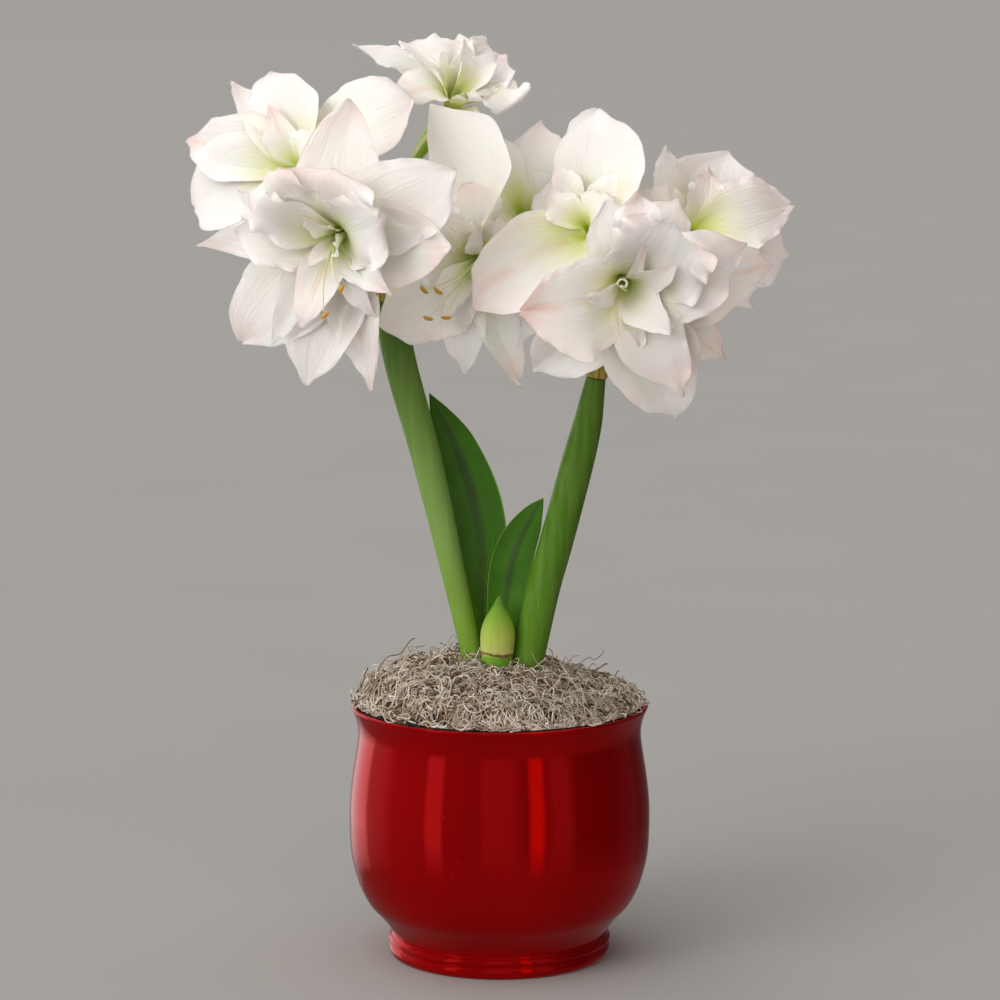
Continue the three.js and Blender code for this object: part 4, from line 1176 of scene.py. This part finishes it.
def make_pedicel(name, skin):
    """Pedicel and three-sided ovary behind a bloom, with the green tube that carries it."""
    throat, forward, _, _ = bloom_frame(name)
    side, corner = BLOOMS[name]["stalk"]
    way, _, top = collar_ends(SCAPES[side])
    across = unit(SIDEWAYS - way * way[0])
    depth = np.cross(way, across)
    start = top + way * GAP + PEDICEL_OFFSET * (corner[0] * across + corner[1] * depth)
    end = throat - forward * (CORE_DEPTH + GAP)
    length = np.linalg.norm(end - start)
    turns = (start, start + way * 0.4 * length, end - forward * 0.45 * length, end)
    places, _ = bezier(turns, np.linspace(0, 1, 9))
    bm = bmesh.new()
    tube(bm, Path(places), PEDICEL, 50, 24, lobes=OVARY_LOBES)
    finish_piece(f"stem_{name}", bm, skin, [f"pedicel_{name}"])

    back = throat - forward * CORE_DEPTH
    axis = [back + forward * BLOOM_TUBE_LENGTH * share for share in (0, 0.5, 1)]
    bm = bmesh.new()
    tube(bm, Path(axis), BLOOM_TUBE, 16, 24, lobes=OVARY_LOBES)
    finish_piece(f"tube_{name}", bm, skin)


# ---- studio -------------------------------------------------------------------------------
CAMERA_PLACE = (0.0004, -2.285, 0.6466)
CAMERA_PITCH = 8.09  # degrees below the level
FOCAL_LENGTH = 119.6  # millimetres, for an image 36 mm wide
FLOOR_REACH = 200.0  # metres
# Brightness, or colour, of the room round the plant by bearing: 0 and 1 lie behind the camera,
# 0.25 to its left, 0.5 beyond the plant and 0.75 to its right. The bright stretches are windows,
# and the orange one is a strip of warm wood.
ROOM = [
    (0.0, 0.22), (0.035, 0.22), (0.045, 0.08), (0.12, 0.1), (0.126, 0.5), (0.158, 0.5),
    (0.165, 0.12), (0.25, 0.16), (0.28, 0.36), (0.335, 0.36), (0.345, 1.0), (0.43, 1.0),
    (0.45, 0.4), (0.5, 0.25), (0.56, 0.06), (0.63, 0.03), (0.65, 0.06), (0.7, 0.06), (0.72, 0.02),
    (0.83, 0.02), (0.85, 0.2), (0.88, 0.2), (0.9, 0.03), (0.91, "#d8702c"), (0.93, "#d8702c"),
    (0.94, 0.03), (0.98, 0.2),
]
ROOM_FLOOR, ROOM_CEILING = "#625e5a", "#c8c6c2"
BACKDROP = "#a3a09c"
LAMPS = {  # aim, strength, spread in degrees and colour
    "key": ((1.1, 1.0, -0.8), 0.65, 38, "#fffefc"),
    "fill": ((0.8, 1.0, -0.15), 0.85, 50, "#ffffff"),
    "room": ((0.8, 1.0, 0.05), 1.8, 150, "#ffffff"),
    "top": ((-0.1, -0.2, -1.0), 0.3, 60, "#ffffff"),
}


def make_camera():
    camera = bpy.data.cameras.new("camera")
    camera.lens = FOCAL_LENGTH
    camera.sensor_width = 36
    camera.clip_start = 0.01
    holder = bpy.data.objects.new("camera", camera)
    holder.location = CAMERA_PLACE
    holder.rotation_euler = (math.radians(90 - CAMERA_PITCH), 0, 0)
    bpy.context.scene.collection.objects.link(holder)
    bpy.context.scene.camera = holder


def make_lamp(name, aim, strength, spread, colour):
    """Soft light from far off that shines along aim, from a source spread degrees wide.

    Like a lamp behind a polarising sheet, it lights matte surfaces but leaves no glare.
    """
    light = bpy.data.lights.new(name, "SUN")
    light.energy = strength
    light.angle = math.radians(spread)
    light.color = linear(colour)[:3]
    holder = bpy.data.objects.new(name, light)
    holder.visible_glossy = False
    holder.rotation_euler = Vector(aim).to_track_quat("-Z", "Y").to_euler()
    bpy.context.scene.collection.objects.link(holder)


def make_floor(board):
    """A board so wide that no view shows its edge."""
    bm = bmesh.new()
    bmesh.ops.create_grid(bm, x_segments=1, y_segments=1, size=FLOOR_REACH)
    mesh = bpy.data.meshes.new("floor")
    bm.to_mesh(mesh)
    bm.free()
    mesh.materials.append(board)
    floor = bpy.data.objects.new("floor", mesh)
    bpy.context.scene.collection.objects.link(floor)
    floor.visible_glossy = False  # the glaze mirrors the room, not the bare board


def make_air():
    """A room with windows, which lights the plant and shows in the glaze, and a plain backdrop."""
    world = bpy.data.worlds.new("studio_air")
    world.use_nodes = True
    tree = world.node_tree
    right, beyond, climb = add(tree, "SeparateXYZ", (add(tree, "TexCoord"),)).outputs
    bearing = add(tree, "ARCTAN2", (right, beyond))
    turn = add(tree, "MULTIPLY_ADD", (bearing, 1 / (2 * math.pi), 0.5))
    around = add(tree, "ValToRGB", (turn,), ROOM)
    low = add(tree, "MapRange", {"Value": climb, "From Min": -0.22, "From Max": -0.38})
    air = add(tree, "Mix", {0: low, 6: around, 7: ROOM_FLOOR}, data_type="RGBA")
    above = add(tree, "ValToRGB", (climb,), [(0.62, 0.0), (0.95, 1.0)])
    air = add(tree, "Mix", {0: above, 6: air, 7: ROOM_CEILING}, data_type="RGBA")
    to_camera = add(tree, "LightPath").outputs["Is Camera Ray"]
    seen = add(tree, "Mix", {0: to_camera, 6: air, 7: BACKDROP}, data_type="RGBA")
    feed(tree, tree.nodes["Background"], {"Color": seen, "Strength": 1.0})
    bpy.context.scene.world = world


def make_studio():
    make_camera()
    make_floor(studio_floor())
    make_air()
    for name, terms in LAMPS.items():
        make_lamp(name, *terms)
    bpy.context.scene.view_settings.view_transform = "Standard"


# ---- the plant in its pot -----------------------------------------------------------------
def dress_hidden_parts():
    """Soil and bulb keep their CAD shapes, under the moss."""
    hidden = {"potting_mix": potting_soil(), "bulb": papery_skin("bulb_tunic", "#a06a3c", "#5c3519")}
    for node, inside in hidden.items():
        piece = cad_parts[node]
        piece.data.materials.clear()
        piece.data.materials.append(inside)


def make_moss():
    # the bed's dark browns are painted shade, for the depth between the strands
    make_mound(moss_fibre("moss_bed_painted_shade", "#5c5043", "#3a3027", "#1f1813"))
    fibres = [
        moss_fibre("moss_fibre_pale", "#f0e7da", "#d6c9b8", "#aea192"),
        moss_fibre("moss_fibre_tan", "#d2c2ad", "#b1a08b", "#887967"),
        moss_fibre("moss_fibre_brown", "#9a7850", "#75573a", "#4e3a28"),
    ]
    make_strands("moss_strands_low", fibres, STRAND_COUNT, 102, 11)
    make_strands("moss_strands_high", fibres, STRAND_COUNT, 100, 12)


def make_plant():
    ochre = papery_skin("bract_ochre", "#c0a548", "#7d7426")
    skins = {
        "left": stalk_skin("stalk_skin_left", "#78a01e", "#80a252", "#466f12", 460),
        "right": stalk_skin("stalk_skin_right", "#5c8a14", "#4c7a14", "#44680a", 407),
    }
    for side, skin in skins.items():
        make_scape(side, skin)
        make_bracts(side, ochre)
    leaf = leaf_blade()
    for name in LEAVES:
        make_leaf(name, leaf)
    make_bud(bud_skin(), papery_skin("bract_brown", "#a58355", "#6d4c2a"))
    petal, pedicel = petal_tissue(), ovary_skin()
    for name in BLOOMS:
        make_bloom(name, petal)
        make_pedicel(name, pedicel)
    make_stamens(filament_tissue(), anther_pollen())


make_pot(red_glaze())
make_moss()
make_plant()
dress_hidden_parts()
make_studio()
